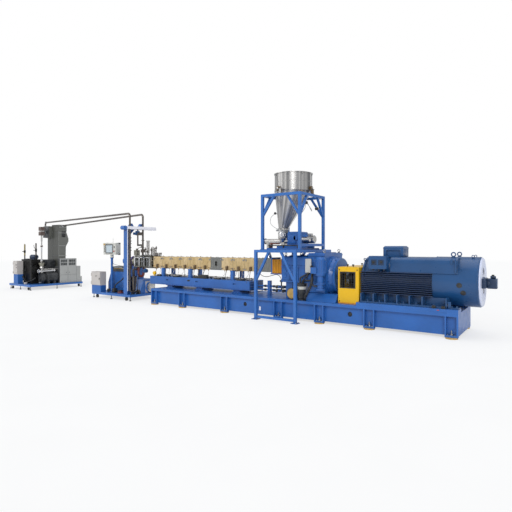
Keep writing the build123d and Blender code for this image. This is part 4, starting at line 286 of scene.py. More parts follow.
def heater_cover(name, colour):
    """Brass-toned pressed sheet: warm, half dull, heat-stained, with painted shade in heat brown at
    joints and low edges.
    """
    material, tree, rounded, edge = new_finish(name, 3 * MM)
    grain = noise(tree, 120, (1, 1, 0.2), detail=4.0)
    normal = relief(tree, grain, 0.12, 0.6 * MM, rounded)
    # Heat tint drifts over about 0.3 m, from module to module.
    drift = span(tree, noise(tree, 3.3, (1, 0.4, 0.4)), 0.35, 0.65)
    tone = mix(tree, drift, rgba(colour, 0.86), rgba(lighter(colour, 0.10)))
    stain = span(tree, noise(tree, 26), 0.55, 0.75, 0.0, 0.45)
    tone = rubbed(tree, mix(tree, stain, tone, rgba([0.23, 0.13, 0.05])), edge, 0.35,
                  lighter(colour, 0.5))
    # Painted shade in a heat-brown tone darkens the corners and joints.
    tone = paint_corner_shade(tree, tone, [0.10, 0.055, 0.02], 50 * MM, 0.8, high=0.9)
    shade(tree, tone, span(tree, grain, 0.3, 0.7, 0.34, 0.52), normal, metallic=0.45)
    return material


def cone_reflection_streaks(tree):
    """Painted reflections as streaks that follow the sides of the leaning cone and stay upright on the
    drum.
    """
    place = place_parts(tree)
    lean = span(tree, place["Z"], WAIST_Z, OUTLET_Z)
    across = [calc(tree, "SUBTRACT", place[key], span(tree, lean, 0.0, 1.0, start, end))
              for key, start, end in (("X", HOPPER_X, OUTLET_X), ("Y", HOPPER_Y, OUTLET_Y))]
    # Some twenty streaks to the turn.
    streak = add_node(tree, "TexNoise", {"noise_dimensions": "1D"},
                      {"W": calc(tree, "ARCTAN2", across[1], across[0]), "Scale": 3.2, "Detail": 3.0,
                       "Roughness": 0.6})
    return span(tree, streak.outputs["Fac"], 0.36, 0.62)


def mirror_sheet(name, colour):
    """Polished stainless sheet, rolled round the hopper: painted reflections as bright streaks between
    dark ones.
    """
    material, tree, rounded, _ = new_finish(name, 2 * MM)
    # Painted reflection: dark and bright streaks in the base colour.
    tone = mix(tree, cone_reflection_streaks(tree), rgba([0.17, 0.17, 0.175]), rgba(colour))
    # Polishing lines are under 0.1 mm apart, drawn about 6 mm apart so that they show.
    lines = noise(tree, 160, (1, 1, 0.02), detail=4.0)
    normal = relief(tree, lines, 0.06, 0.4 * MM, rounded)
    # Painted shade darkens the corners.
    tone = paint_corner_shade(tree, tone, darker(colour, 0.15), 40 * MM, 0.5)
    shade(tree, tone, span(tree, lines, 0.3, 0.7, 0.26, 0.38), normal, metallic=0.75)
    return material


def cast_iron(name, colour, roughness=0.45):
    """Sand-cast iron under dark enamel: grainy, with a dull shine, paler on surfaces that face up."""
    material, tree, rounded, edge = new_finish(name, 4 * MM)
    # Casting skin has a 3 mm grain.
    normal = relief(tree, noise(tree, 320, detail=4.0), 0.3, 1 * MM, rounded)
    tone = mix(tree, span(tree, noise(tree, 8), 0.35, 0.7), rgba(colour, 0.8),
               rgba(lighter(colour, 0.05)))
    tone = rubbed(tree, tone, edge, 0.5, lighter(colour, 0.22))
    # Surfaces that face up are mixed towards a pale gray.
    pale_facing_up = span(tree, facing_parts(tree)["Z"], 0.5, 1.0, 0.0, 0.12)
    shade(tree, mix(tree, pale_facing_up, tone, rgba([0.4] * 3)), roughness, normal, metallic=0.1)
    return material


def moulded(name, colour, roughness=0.5, sheen=0.0):
    """Moulded plastic or rubber: one colour, fine grain, soft highlight."""
    material, tree, rounded, _ = new_finish(name, 2 * MM)
    # Moulded grain is about 0.1 mm wide, drawn about 2 mm wide so that it shows.
    normal = relief(tree, noise(tree, 420), 0.1, 0.4 * MM, rounded)
    tone = mix(tree, span(tree, noise(tree, 14), 0.3, 0.7), rgba(colour, 0.88),
               rgba(lighter(colour, 0.04)))
    shade(tree, tone, roughness, normal, coat=sheen)
    return material


def plated_steel(name, colour, roughness=0.28):
    """Zinc-plated fasteners and bright fittings: gray metal with a slight drift in tone."""
    material, tree, rounded, _ = new_finish(name, 1 * MM)
    tone = mix(tree, span(tree, noise(tree, 30), 0.3, 0.7), rgba(colour, 0.75),
               rgba(lighter(colour, 0.12)))
    rough = span(tree, noise(tree, 60), 0.3, 0.7, roughness - 0.08, roughness + 0.1)
    shade(tree, tone, rough, rounded, metallic=1.0)
    return material


# By maker: what the finish covers, its name, its colour (a colour property or sRGB) and the rest.
FINISH_TABLE = {
    sprayed_paint: (
        ("machine_blue", "Sprayed blue machine enamel", "machine_blue", {}),
        # Dark navy enamel; on the motor box lids it is painted shade in the recesses.
        ("motor_inset", "Sprayed motor enamel in a recess", "#16304F", {"roughness": 0.4}),
        ("cover_pale", "Pale motor end cover enamel", "#CCD3EA", {"roughness": 0.34}),
        ("motor_blue", "Sprayed dark blue motor enamel", "motor_blue", {"roughness": 0.32}),
        # The darker second tone on the fins is painted shade.
        ("motor_finned", "Sprayed motor enamel, darker on the fins", "motor_blue",
         {"roughness": 0.32, "second": "#152F56", "mask": fin_shade_zone}),
        ("frame_light", "Sprayed blue tube frame enamel", "#2E68B2", {"roughness": 0.34}),
        ("guard_yellow", "Sprayed yellow safety enamel", "guard_yellow",
         {"roughness": 0.3, "cloud": 0.05, "edge_light": 0.3, "corner_shade_share": 0.2}),
        ("lantern_yellow", "Sprayed orange-yellow guard enamel", "lantern_yellow",
         {"roughness": 0.34, "cloud": 0.08, "corner_shade_share": 0.75}),
        ("oxide_red", "Dark oxide red enamel", "#6B2A22", {"roughness": 0.45}),
        ("lilac_flange", "Pale violet flange enamel", "#7C6BA8", {"roughness": 0.4}),
    ),
    cast_iron: (
        ("pad_tan", "Bronze-coloured levelling pads", "pad_tan", {"roughness": 0.5}),
        ("dark_iron", "Dark enamelled cast iron", "dark_iron", {}),
        ("valve_brown", "Brown valve actuator casting", "#5A4842", {}),
        ("rust_dark", "Heat-browned terminals", "#5C441C", {"roughness": 0.55}),
    ),
    heater_cover: (("cover_gold", "Brass-toned heater covers", "cover_gold", {}),),
    mirror_sheet: (("hopper_sheet", "Polished stainless hopper sheet", "stainless", {}),),
    brushed_metal: (
        ("barrel_steel", "Ground barrel steel", "steel", {"stretch": (6, 1, 1), "roughness": 0.38}),
        ("stainless", "Drawn stainless tube and sheet", "stainless",
         {"stretch": (1, 6, 6), "roughness": 0.24, "contrast": 0.2}),
        ("bright_steel", "Bright polished valve steel", "#E4E4E6",
         {"stretch": (3, 3, 3), "roughness": 0.2, "contrast": 0.1}),
        ("tank_dark", "Dark weathered stainless tank sheet", "#3B3B3A",
         {"stretch": (1, 1, 6), "roughness": 0.36, "contrast": 0.4}),
        ("die_steel", "Greenish ground die steel", "#ACA99B",
         {"stretch": (3, 3, 1), "roughness": 0.36, "contrast": 0.4}),
        ("pipe_brown", "Heat-tinted stainless water pipe", "#77706B",
         {"stretch": (1, 6, 6), "roughness": 0.26, "contrast": 0.3}),
        ("stack_brass", "Yellowed steel stack", "#A8985E", {"stretch": (1, 1, 8), "roughness": 0.34}),
    ),
    powder_coat: (
        ("cabinet_gray", "Light gray cabinet powder coat", "cabinet_gray", {}),
        ("cabinet_low_base", "Gray cabinet powder coat on a blue base", "cabinet_gray",
         {"second": "machine_blue", "mask": below(0.404)}),
        ("cabinet_high_base", "Gray cabinet powder coat on a high blue base", "cabinet_gray",
         {"second": "machine_blue", "mask": below(0.575)}),
        # On the dryer and the tower the darker second tone of front faces is painted shade.
        ("dryer_gray", "Silver gray dryer powder coat", "dryer_gray",
         {"roughness": 0.42, "second": "#4A4C4E", "mask": front_shade_mask}),
        ("tower_gray", "Olive gray dryer tower coat", "#6A6B66",
         {"roughness": 0.4, "second": "#454641", "mask": front_shade_mask}),
        ("rail_white", "White rail powder coat", "#F0F0F8", {"roughness": 0.35}),
        ("panel_white", "White panel powder coat", "panel_white", {"roughness": 0.4}),
        ("band_dark", "Dark gray band powder coat", "#34383B", {"roughness": 0.4}),
    ),
    moulded: (
        ("mesh_wire", "Black coated mesh wire", "#17181A", {"roughness": 0.4}),
        ("black_rubber", "Black rubber hose and wheel", "#0B0B0C", {"roughness": 0.6}),
        ("black_plastic", "Black moulded plastic", "#0E0F11", {}),
        ("gray_cable", "Gray cable sheath", "#8D9093", {}),
        ("red_plastic", "Red moulded plastic", "#A8221E", {"roughness": 0.4, "sheen": 0.2}),
        ("screen_frame", "Dark gray moulded screen frame", "#4C5052", {"roughness": 0.45}),
        ("screen", "Lit pale screen glass", "#B9C7CF", {"roughness": 0.12, "sheen": 0.8}),
    ),
    plated_steel: (
        ("zinc", "Zinc-plated fasteners", "#A9ABAC", {}),
        ("brass", "Turned brass fittings", "#B58A3C", {"roughness": 0.3}),
        ("copper", "Copper pipe", "#8C4F35", {"roughness": 0.34}),
    ),
}
FINISHES = {}


def tone_of(colour):
    """Linear RGB of a colour property or of sRGB hex."""
    return linear(colour) if colour.startswith("#") else list(getattr(colours(), colour))


def make_finishes():
    """All materials, by the name of what they cover."""
    for maker, rows in FINISH_TABLE.items():
        for covers, name, colour, more in rows:
            if "second" in more:
                more = more | {"second": tone_of(more["second"])}
            FINISHES[covers] = maker(name, tone_of(colour), **more)


UP = Vector((0, 0, 1))
FRONT = Vector((0, -1, 0))
LEFT, RIGHT = Vector((-1, 0, 0)), Vector((1, 0, 0))
OPEN_PIECES = []


def round_off(bm, edges, width):
    """Round edges off."""
    bmesh.ops.bevel(bm, geom=edges, offset=width, offset_type="OFFSET", affect="EDGES", segments=2,
                    profile=0.5, material=-1)


def edges_at(made):
    """Edges that meet at the corners of a new shape."""
    return list({edge for corner in made["verts"] for edge in corner.link_edges})


def axis_frame(start, direction):
    """Frame at a point whose Z runs along a direction."""
    turn = Vector(direction).normalized().to_track_quat("Z", "Y")
    return Matrix.Translation(Vector(start)) @ turn.to_matrix().to_4x4()


def around(count, start=0.0):
    """Evenly spaced angles of a full turn."""
    return [start + 2 * math.pi * k / count for k in range(count)]


def grid(*axes):
    """Places of a grid; each axis has one value or several."""
    axes = ([axis] if isinstance(axis, (int, float)) else axis for axis in axes)
    return [Vector(place) for place in product(*axes)]


def smooth_path(points, steps):
    """Points of a smooth line through the given ones."""
    given = [Vector(p) for p in points]
    line = []
    for k, (a, b) in enumerate(zip(given, given[1:])):
        before, after = given[max(k - 1, 0)], given[min(k + 2, len(given) - 1)]
        for t in (s / steps for s in range(steps)):
            line.append(0.5 * (2 * a + (b - before) * t
                               + (2 * before - 5 * a + 4 * b - after) * t * t
                               + (3 * a - before - 3 * b + after) * t ** 3))
    return line + [given[-1]]


class Piece:
    """Mesh in the making, in metres in the shared frame, until its operator closes it.

    A piece at both sides is made at the front and repeated at the back.
    """

    def __init__(self, name, finish, body="root", both=False):
        self.name, self.finish, self.body, self.both = name, finish, body, both
        self.bm = bmesh.new()
        OPEN_PIECES.append(self)

    def close(self):
        """Make the named object with its finish, riding on a body."""
        bm = self.bm
        if self.both:
            front = bm.verts[:] + bm.edges[:] + bm.faces[:]
            back = bmesh.ops.duplicate(bm, geom=front)["geom"]
            bmesh.ops.scale(bm, vec=(1, -1, 1),
                            verts=[item for item in back if isinstance(item, bmesh.types.BMVert)])
        bmesh.ops.recalc_face_normals(bm, faces=bm.faces)
        mesh = bpy.data.meshes.new(self.name)
        bm.to_mesh(mesh)
        bm.free()
        mesh.polygons.foreach_set("use_smooth", [True] * len(mesh.polygons))
        mesh.set_sharp_from_angle(angle=math.radians(35))
        mesh.materials.append(FINISHES[self.finish])
        piece = bpy.data.objects.new(self.name, mesh)
        bpy.context.scene.collection.objects.link(piece)
        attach(piece, self.body)

    def box(self, low, high, edge=0.0):
        """Box between two corners, with its edges rounded off."""
        low, high = Vector(low), Vector(high)
        place = Matrix.Translation((low + high) / 2) @ Matrix.Diagonal((*(high - low), 1.0))
        made = bmesh.ops.create_cube(self.bm, size=1.0, matrix=place)
        if edge:
            round_off(self.bm, edges_at(made), edge)

    def rod(self, start, end, radius, end_radius=None, sides=16, edge=0.0):
        """Round bar or taper between two points, with its rims rounded off."""
        start, end = Vector(start), Vector(end)
        made = bmesh.ops.create_cone(
            self.bm, cap_ends=True, cap_tris=False, segments=sides, radius1=radius,
            radius2=radius if end_radius is None else end_radius, depth=(end - start).length,
            matrix=axis_frame((start + end) / 2, end - start))
        if edge:
            rims = [e for e in edges_at(made) if any(len(f.verts) == sides for f in e.link_faces)]
            round_off(self.bm, rims, edge)

    def bolt(self, place, axis, width, washer=True):
        """Hexagon head, on a washer or without, that stands on a surface along an axis."""
        foot, axis = Vector(place), Vector(axis).normalized()
        if washer:
            rise = foot + axis * 0.12 * width
            self.rod(foot, rise, 0.95 * width, sides=12)
            foot = rise
        self.rod(foot, foot + axis * 0.6 * width, 0.577 * width, sides=6)

    def boxes(self, lows, size, edge=0.0):
        """Like boxes, each from its low corner."""
        for low in lows:
            self.box(low, Vector(low) + Vector(size), edge)

    def rods(self, starts, reach, radius, **more):
        """Like rods, each from its start."""
        for start in starts:
            self.rod(start, Vector(start) + Vector(reach), radius, **more)

    def bolts(self, places, axis, width, washer=True):
        """Like bolts at several places."""
        for place in places:
            self.bolt(place, axis, width, washer)

    def bolt_circle(self, centre, axis, radius, width, count, start=0.0, washer=True):
        """Evenly spaced bolts on a circle round an axis along X, Y or Z."""
        for angle in around(count, start):
            c, s = radius * math.cos(angle), radius * math.sin(angle)
            step = (0, s, c) if axis[0] else (c, 0, s) if axis[1] else (c, s, 0)
            self.bolt(Vector(centre) + Vector(step), axis, width, washer)

    def tube(self, points, radius, sides=8, steps=6):
        """Bent tube along a smooth line, closed at both ends."""
        line = smooth_path(points, steps)
        way = (line[1] - line[0]).normalized()
        turn = way.to_track_quat("Z", "Y")
        last = None
        for k, point in enumerate(line):
            ahead = (line[min(k + 1, len(line) - 1)] - line[max(k - 1, 0)]).normalized()
            turn = way.rotation_difference(ahead) @ turn
            way = ahead
            ring = bmesh.ops.create_circle(
                self.bm, cap_ends=k in (0, len(line) - 1), segments=sides, radius=radius,
                matrix=Matrix.Translation(point) @ turn.to_matrix().to_4x4())
            edges = edges_at(ring)
            if last:
                bmesh.ops.bridge_loops(self.bm, edges=last + edges)
            last = edges

    def ring(self, centre, axis, radius, thick, sides=20, grain=8):
        """Round ring of round wire."""
        place = axis_frame(centre, axis)
        made = bmesh.ops.create_circle(
            self.bm, segments=grain, radius=thick,
            matrix=place @ Matrix.Translation((radius, 0, 0)) @ Matrix.Rotation(math.pi / 2, 4, "X"))
        bmesh.ops.spin(self.bm, geom=made["verts"] + edges_at(made), cent=place.translation,
                       axis=place.to_3x3() @ UP, angle=2 * math.pi, steps=sides, use_merge=True,
                       use_duplicate=False)

    def eyebolt(self, foot, size, axis=UP, across=(0, 1, 0)):
        """Lifting eyebolt that stands on a surface."""
        foot, axis = Vector(foot), Vector(axis)
        self.rod(foot, foot + axis * size * 0.25, size * 0.42, sides=14)
        self.ring(foot + axis * size * 0.75, across, size * 0.42, size * 0.13)


def close_pieces():
    """Close the pieces that an operator has opened."""
    while OPEN_PIECES:
        OPEN_PIECES.pop(0).close()
    return {"FINISHED"}


# What each finish covers among the solids of the frame.
COVERED = {
    "machine_blue": "base_frame support_girder barrel_supports lantern_housing gearbox_housing "
                    "gearbox_pedestals lube_pump cooling_pipes feeder_platform feeder_body console "
                    "panel_post gantry",
    "frame_light": "lower_frame upper_frame pelletiser_skid cutter_motor cutter_carriage dryer_skid",
    "motor_blue": "motor_feet motor_casing side_boxes encoder_unit",
    "stainless": "hopper_lid feeder_trough feeder_motor die_cylinders pump_piping",
    "pipe_brown": "supply_drop return_pipes water_set overhead_pipes",
    "dark_iron": "oil_set dryer_drum circulation_pump",
    "barrel_steel": "barrel_run drive_coupling",
    "black_rubber": "pelletiser_stands dryer_stands",
    "cabinet_gray": "pelletiser_cabinet_door dryer_cabinet_door",
    "tank_dark": "water_tank tank_cover",
    "cabinet_low_base": "pelletiser_cabinet",
    "cabinet_high_base": "dryer_cabinet",
    "cover_gold": "barrel_covers",
    "cover_pale": "motor_end_cover",
    "die_steel": "die_head",
    "dryer_gray": "dryer_housing",
    "guard_yellow": "coupling_guard",
    "hopper_sheet": "hopper_shell",
    "lantern_yellow": "lantern_guard",
    "mesh_wire": "guard_meshes",
    "motor_finned": "motor_housing",
    "motor_inset": "heater_motor",
    "pad_tan": "levelling_pads",
    "panel_white": "control_panel",
    "rail_white": "gantry_arm",
    "rust_dark": "heater_terminals",
    "tower_gray": "dryer_tower",
}


class DRESS_OT_finishes(bpy.types.Operator):
    """Make all finishes and give each solid of the frame its own"""
    bl_idname = "dress.finishes"
    bl_label = "Finishes"

    def execute(self, context):
        make_finishes()
        finish_of = {node: finish for finish, nodes in COVERED.items() for node in nodes.split()}
        for name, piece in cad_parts.items():
            piece.data.materials.clear()
            piece.data.materials.append(FINISHES[finish_of[name]])
        return {"FINISHED"}


def floor_material(colour):
    """Matt white studio floor that fades into the white background."""
    material, tree = new_material("Matt white studio floor")
    place = add_node(tree, "TexCoord").outputs["Object"]
    reach = add_node(tree, "VectorMath", {"operation": "LENGTH"}, {0: place}).outputs["Value"]
    tone = mix(tree, noise(tree, 1.3), rgba([0.86] * 3), rgba([0.92] * 3))
    matt = add_node(tree, "BsdfDiffuse", inputs={"Color": tone})
    white = add_node(tree, "Emission", inputs={"Color": rgba(colour), "Strength": 1.0})
    seen = add_node(tree, "LightPath").outputs["Is Camera Ray"]
    # The camera sees the floor paler than it lights the machine; its shadow stays.
    share = calc(tree, "MULTIPLY", calc(tree, "MAXIMUM", span(tree, reach, 18, 60), 0.62), seen)
    both = add_node(tree, "MixShader", inputs={0: share, 1: matt.outputs["BSDF"],
                                               2: white.outputs["Emission"]})
    add_node(tree, "OutputMaterial", inputs={"Surface": both.outputs["Shader"]})
    return material


def make_world():
    """White background for the camera, soft gray light for the rest."""
    world = bpy.data.worlds.new("Studio")
    bpy.context.scene.world = world
    world.use_nodes = True
    tree = world.node_tree
    tree.nodes.clear()
    seen = add_node(tree, "LightPath").outputs
    direct = calc(tree, "MAXIMUM", seen["Is Camera Ray"], seen["Is Transmission Ray"])
    lamp, white = (add_node(tree, "Background", inputs={"Color": tone, "Strength": strength}).outputs[0]
                   for tone, strength in (((0.93, 0.96, 1.0, 1.0), 0.52), ((1, 1, 1, 1), 1.0)))
    both = add_node(tree, "MixShader", inputs={0: direct, 1: lamp, 2: white})
    add_node(tree, "OutputWorld", inputs={"Surface": both.outputs["Shader"]})


# The eye stands 1.6 m high in front of the motor and looks along the line; its horizon lies
# 8 px above the middle of a 512 px picture.
EYE = (5.36, -8.61, 1.6)
EYE_WAY = (-0.581, 0.814, 0)
HORIZON_SHIFT = -8 / 512
FLOOR_HALF = 400
# Soft lamps: place, target, strength and width in degrees.
LAMPS = {
    "front lamp": ((9, -16, 11), (0, 0, 1), 1.7, 30),
    "top lamp": ((-4, 3, 20), (-3, 0, 0), 1.0, 60),
    "left lamp": ((-20, -10, 9), (-5, 0, 1), 0.7, 40),
}


def aim(thing, place, target):
    """Place a lamp or camera and point it at a target."""
    thing.location = place
    thing.rotation_euler = (Vector(target) - Vector(place)).to_track_quat("-Z", "Y").to_euler()


class DRESS_OT_stage(bpy.types.Operator):
    """Floor, soft lamps, white background and the camera"""
    bl_idname = "dress.stage"
    bl_label = "Stage"

    def execute(self, context):
        scene = context.scene
        scene.view_settings.view_transform = "Standard"
        make_world()
        bm = bmesh.new()
        bmesh.ops.create_grid(bm, x_segments=2, y_segments=2, size=FLOOR_HALF)
        mesh = bpy.data.meshes.new("floor")
        bm.to_mesh(mesh)
        bm.free()
        mesh.materials.append(floor_material(list(colours().floor_white)))
        floor = bpy.data.objects.new("floor", mesh)
        scene.collection.objects.link(floor)
        for name, (place, target, power, wide) in LAMPS.items():
            data = bpy.data.lights.new(name, "SUN")
            data.energy = power * sizes().lamp_share
            data.angle = math.radians(wide)
            lamp = bpy.data.objects.new(name, data)
            scene.collection.objects.link(lamp)
            aim(lamp, place, target)
        data = bpy.data.cameras.new("photo view")
        data.sensor_width = 36
        data.lens = sizes().lens
        data.shift_y = HORIZON_SHIFT
        data.clip_end = 1000
        camera = bpy.data.objects.new("photo view", data)
        scene.collection.objects.link(camera)
        aim(camera, EYE, [start + way for start, way in zip(EYE, EYE_WAY)])
        scene.camera = camera
        return {"FINISHED"}


SCREW_Z = 1.18
BARREL_HALF = 0.165
BARREL_LOW, BARREL_TOP = SCREW_Z - BARREL_HALF, SCREW_Z + BARREL_HALF
FEED_RIGHT = -0.2
FEED_LENGTH = 0.437
MODULE_LENGTH = 0.382
MODULES = 11
COVERED_MODULES = [index for index in range(MODULES) if index not in (0, 4)]
GIRDER_TOP = 0.775
HEADER_Y = (-0.1, 0.1)


def module_ends(index):
    """Left and right end of a barrel module."""
    if index == 0:
        return FEED_RIGHT - FEED_LENGTH, FEED_RIGHT
    right = FEED_RIGHT - FEED_LENGTH - (index - 1) * MODULE_LENGTH
    return right - MODULE_LENGTH, right


class DRESS_OT_barrel_joints(bpy.types.Operator):
    """Dark joint collars with bolts between the barrel modules"""
    bl_idname = "dress.barrel_joints"
    bl_label = "Barrel joints"

    def execute(self, context):
        strips = Piece("barrel_joint_strips", "rust_dark")
        bolts = Piece("barrel_joint_bolts", "zinc")
        width = sizes().module_bolt * 0.8
        for x in (module_ends(index)[1] for index in range(1, MODULES)):
            shoulders = (x - 0.026, x + 0.026)
            for side in (-1, 1):
                strips.box((x - 0.004, side * 0.155 - 0.006, BARREL_LOW + 0.004),
                           (x + 0.004, side * 0.155 + 0.006, BARREL_TOP - 0.004))
                bolts.bolts(grid(shoulders, side * BARREL_HALF, (SCREW_Z - 0.118, SCREW_Z + 0.118)),
                            (0, side, 0), width)
            strips.box((x - 0.004, 0.004 - BARREL_HALF, BARREL_TOP - 0.016),
                       (x + 0.004, BARREL_HALF - 0.004, BARREL_TOP - 0.004))
            bolts.bolts(grid(shoulders, (-0.11, 0.11), BARREL_TOP), UP, width)
        return close_pieces()


class DRESS_OT_cover_trim(bpy.types.Operator):
    """Pressed ribs and latches of the heater covers"""
    bl_idname = "dress.cover_trim"
    bl_label = "Heater cover trim"

    def execute(self, context):
        ribs = Piece("heater_cover_ribs", "cover_gold")
        latches = Piece("heater_cover_latches", "zinc", both=True)
        for left, right in map(module_ends, COVERED_MODULES):
            middle = (left + right) / 2
            rib_x = [left + (right - left) * share - 0.01 for share in (0.28, 0.72)]
            ribs.boxes(grid(rib_x, (-BARREL_HALF - 0.004, BARREL_HALF), BARREL_LOW + 0.03),
                       (0.02, 0.004, 2 * BARREL_HALF - 0.06), edge=0.0018)
            ribs.box((middle - 0.13, -0.035, BARREL_TOP), (middle + 0.13, 0.035, BARREL_TOP + 0.005),
                     edge=0.002)
            latches.boxes(grid((left + 0.033, right - 0.057), -BARREL_HALF - 0.012, SCREW_Z + 0.085),
                          (0.024, 0.012, 0.04), edge=0.003)
        return close_pieces()


class DRESS_OT_barrel_wiring(bpy.types.Operator):
    """Heater leads, thin water tubes and glands from the modules down to the girder"""
    bl_idname = "dress.barrel_wiring"
    bl_label = "Barrel wiring"

    def execute(self, context):
        leads = Piece("heater_leads", "black_rubber")
        tubes = Piece("barrel_water_tubes", "stainless")
        glands = Piece("barrel_glands", "brass")
        front, low = -BARREL_HALF, BARREL_LOW
        for index in COVERED_MODULES:
            x = sum(module_ends(index)) / 2
            # Each lead sways its own way, up to 24 mm.
            sway = 0.012 * ((index * 7) % 5 - 2)
            glands.rod((x, front - 0.028, low + 0.012), (x, front - 0.028, low - 0.022), 0.013,
                       sides=10)
            leads.tube([(x, front - 0.028, low - 0.015), (x + sway, front - 0.044, low - 0.09),
                        (x + sway * 1.6, -0.225, low - 0.17), (x + sway, -0.232, GIRDER_TOP + 0.045),
                        (x + sway, -0.232, GIRDER_TOP)], sizes().wire * 0.8)
            for way in (-1, 1):
                t, end = x + way * 0.095, x + way * 0.115
                glands.rod((t, front + 0.02, low - 0.03), (t, front + 0.02, low), 0.011, sides=8)
                tubes.tube([(t, front + 0.02, low - 0.02), (t, front + 0.02, low - 0.1),
                            (end, -0.19, low - 0.15), (end, -0.2, GIRDER_TOP + 0.03),
                            (end, -0.2, GIRDER_TOP)], 0.0055)
            # Thermocouples near the front edge of each module, and one on top.
            glands.rods(grid((x - 0.14, x + 0.14), front, low + 0.055), 0.028 * FRONT, 0.009, sides=8)
            glands.rod((x + 0.05, 0, BARREL_TOP), (x + 0.05, 0, BARREL_TOP + 0.025), 0.012, sides=10)
        return close_pieces()


class DRESS_OT_girder_fittings(bpy.types.Operator):
    """Connector blocks, small valves and water headers on the girder"""
    bl_idname = "dress.girder_fittings"
    bl_label = "Girder fittings"

    def execute(self, context):
        blocks = Piece("girder_connector_blocks", "black_plastic")
        blocks.boxes(grid((-4.19, -3.49, -2.71, -1.94, -1.19), -0.285, GIRDER_TOP), (0.18, 0.07, 0.045),
                     edge=0.004)
        clip_x = [0.4 * k - 4.212 for k in range(9)]
        blocks.boxes(grid(clip_x, [y - 0.024 for y in HEADER_Y], GIRDER_TOP), (0.024, 0.048, 0.052),
                     edge=0.003)
        # The larger block stands by itself near the middle.
        blocks.box((-2.52, -0.285, GIRDER_TOP), (-2.22, -0.18, GIRDER_TOP + 0.1), edge=0.008)

        # Black sheets in the girder's slot and holes are painted shade inside them.
        slots = Piece("girder_slots", "black_plastic", both=True)
        slots.rods(grid((-2.89, -2.83), -0.3016, 0.7), (0, 0.0014, 0), 0.022, sides=20)
        slots.box((-2.89, -0.3016, 0.678), (-2.83, -0.3002, 0.722))
        slots.rods(grid((-4.28, -0.86), -0.3016, 0.735), (0, 0.0014, 0), 0.012, sides=14)
        rungs = Piece("girder_end_rungs", "motor_inset")
        rungs.boxes(grid(-0.7695, -0.27, (0.49, 0.55, 0.61, 0.67, 0.73)), (0.0195, 0.54, 0.018),
                    edge=0.002)

        valves = Piece("girder_valves", "dark_iron")
        for foot in grid((-3.75, -3.2, -2.45, -1.62, -0.95), -0.26, GIRDER_TOP):
            middle = foot + 0.045 * UP
            valves.rod(foot, foot + 0.035 * UP, 0.014, sides=12)
            valves.rod(middle + 0.03 * LEFT, middle + 0.03 * RIGHT, 0.016, sides=12, edge=0.003)
            valves.box(foot + Vector((-0.008, -0.04, 0.058)), foot + Vector((0.008, 0.01, 0.066)))
        headers = Piece("girder_water_headers", "stainless")
        headers.rods(grid(-4.35, HEADER_Y, GIRDER_TOP + 0.03), (3.5, 0, 0), 0.016, sides=12)
        return close_pieces()


MOTOR_AXIS_Z = 0.975
MOTOR_RADIUS = 0.46
RAIL_TOP = 0.515
FEET_X = (-3.885, -2.78, -1.31, 0.27, 1.3, 2.39, 3.885)
ANCHOR_Y = 0.605
# The gearbox is low over its front end and high over its rear end.
GEARBOX_TOPS = (1.41, 1.49)
COVER_THICK = 0.014
GEARBOX_SEAM_X = (0.31, 0.43, 0.53, 0.65, 0.75, 0.87, 0.99, 1.09, 1.19, 1.29)
COOLING_Y, COOLING_Z = -0.06, (0.575, 0.665)
GUARD_HALF = 0.5
GUARD_X = (1.69, 2.12)
WINDOW_X, WINDOW_Z = (1.716, 2.06), (0.77, 1.11)


def on_round(x, angle, radius):
    """Point and outward direction on the round of the motor; angle 0 is up, towards the front."""
    out = Vector((0, -math.sin(angle), math.cos(angle)))
    return Vector((x, 0, MOTOR_AXIS_Z)) + out * radius, out


class DRESS_OT_floor_bolts(bpy.types.Operator):
    """Anchor bolts with nuts through the feet, and jacking screws beside them"""
    bl_idname = "dress.floor_bolts"
    bl_label = "Floor bolts"

    def execute(self, context):
        bolts = Piece("base_anchor_bolts", "zinc", both=True)
        width = sizes().anchor_bolt
        feet = grid(FEET_X, -ANCHOR_Y, 0.06)
        bolts.rods(feet, 0.006 * UP, width * 0.85, sides=20)
        bolts.rods([foot + 0.006 * UP for foot in feet], 0.024 * UP, width * 0.577, sides=6)
        bolts.rods([foot + 0.03 * UP for foot in feet], 0.055 * UP, 0.012, sides=12)
        for way in (-0.065, 0.065):
            bolts.bolts([foot + Vector((way, -0.012, 0)) for foot in feet], UP, width * 0.55)
        # Black plugs in the lifting holes are painted shade inside them.
        hole_shade = Piece("base_lifting_cups", "black_rubber", both=True)
        hole_shade.rods(grid((-0.7, 1.97), -0.548, 0.25), (0, 0.088, 0), 0.058, sides=28)
        mark = Piece("base_white_mark", "rail_white")
        mark.box((-0.285, -0.5735, 0.14), (-0.24, -0.5695, 0.23), edge=0.001)
        return close_pieces()


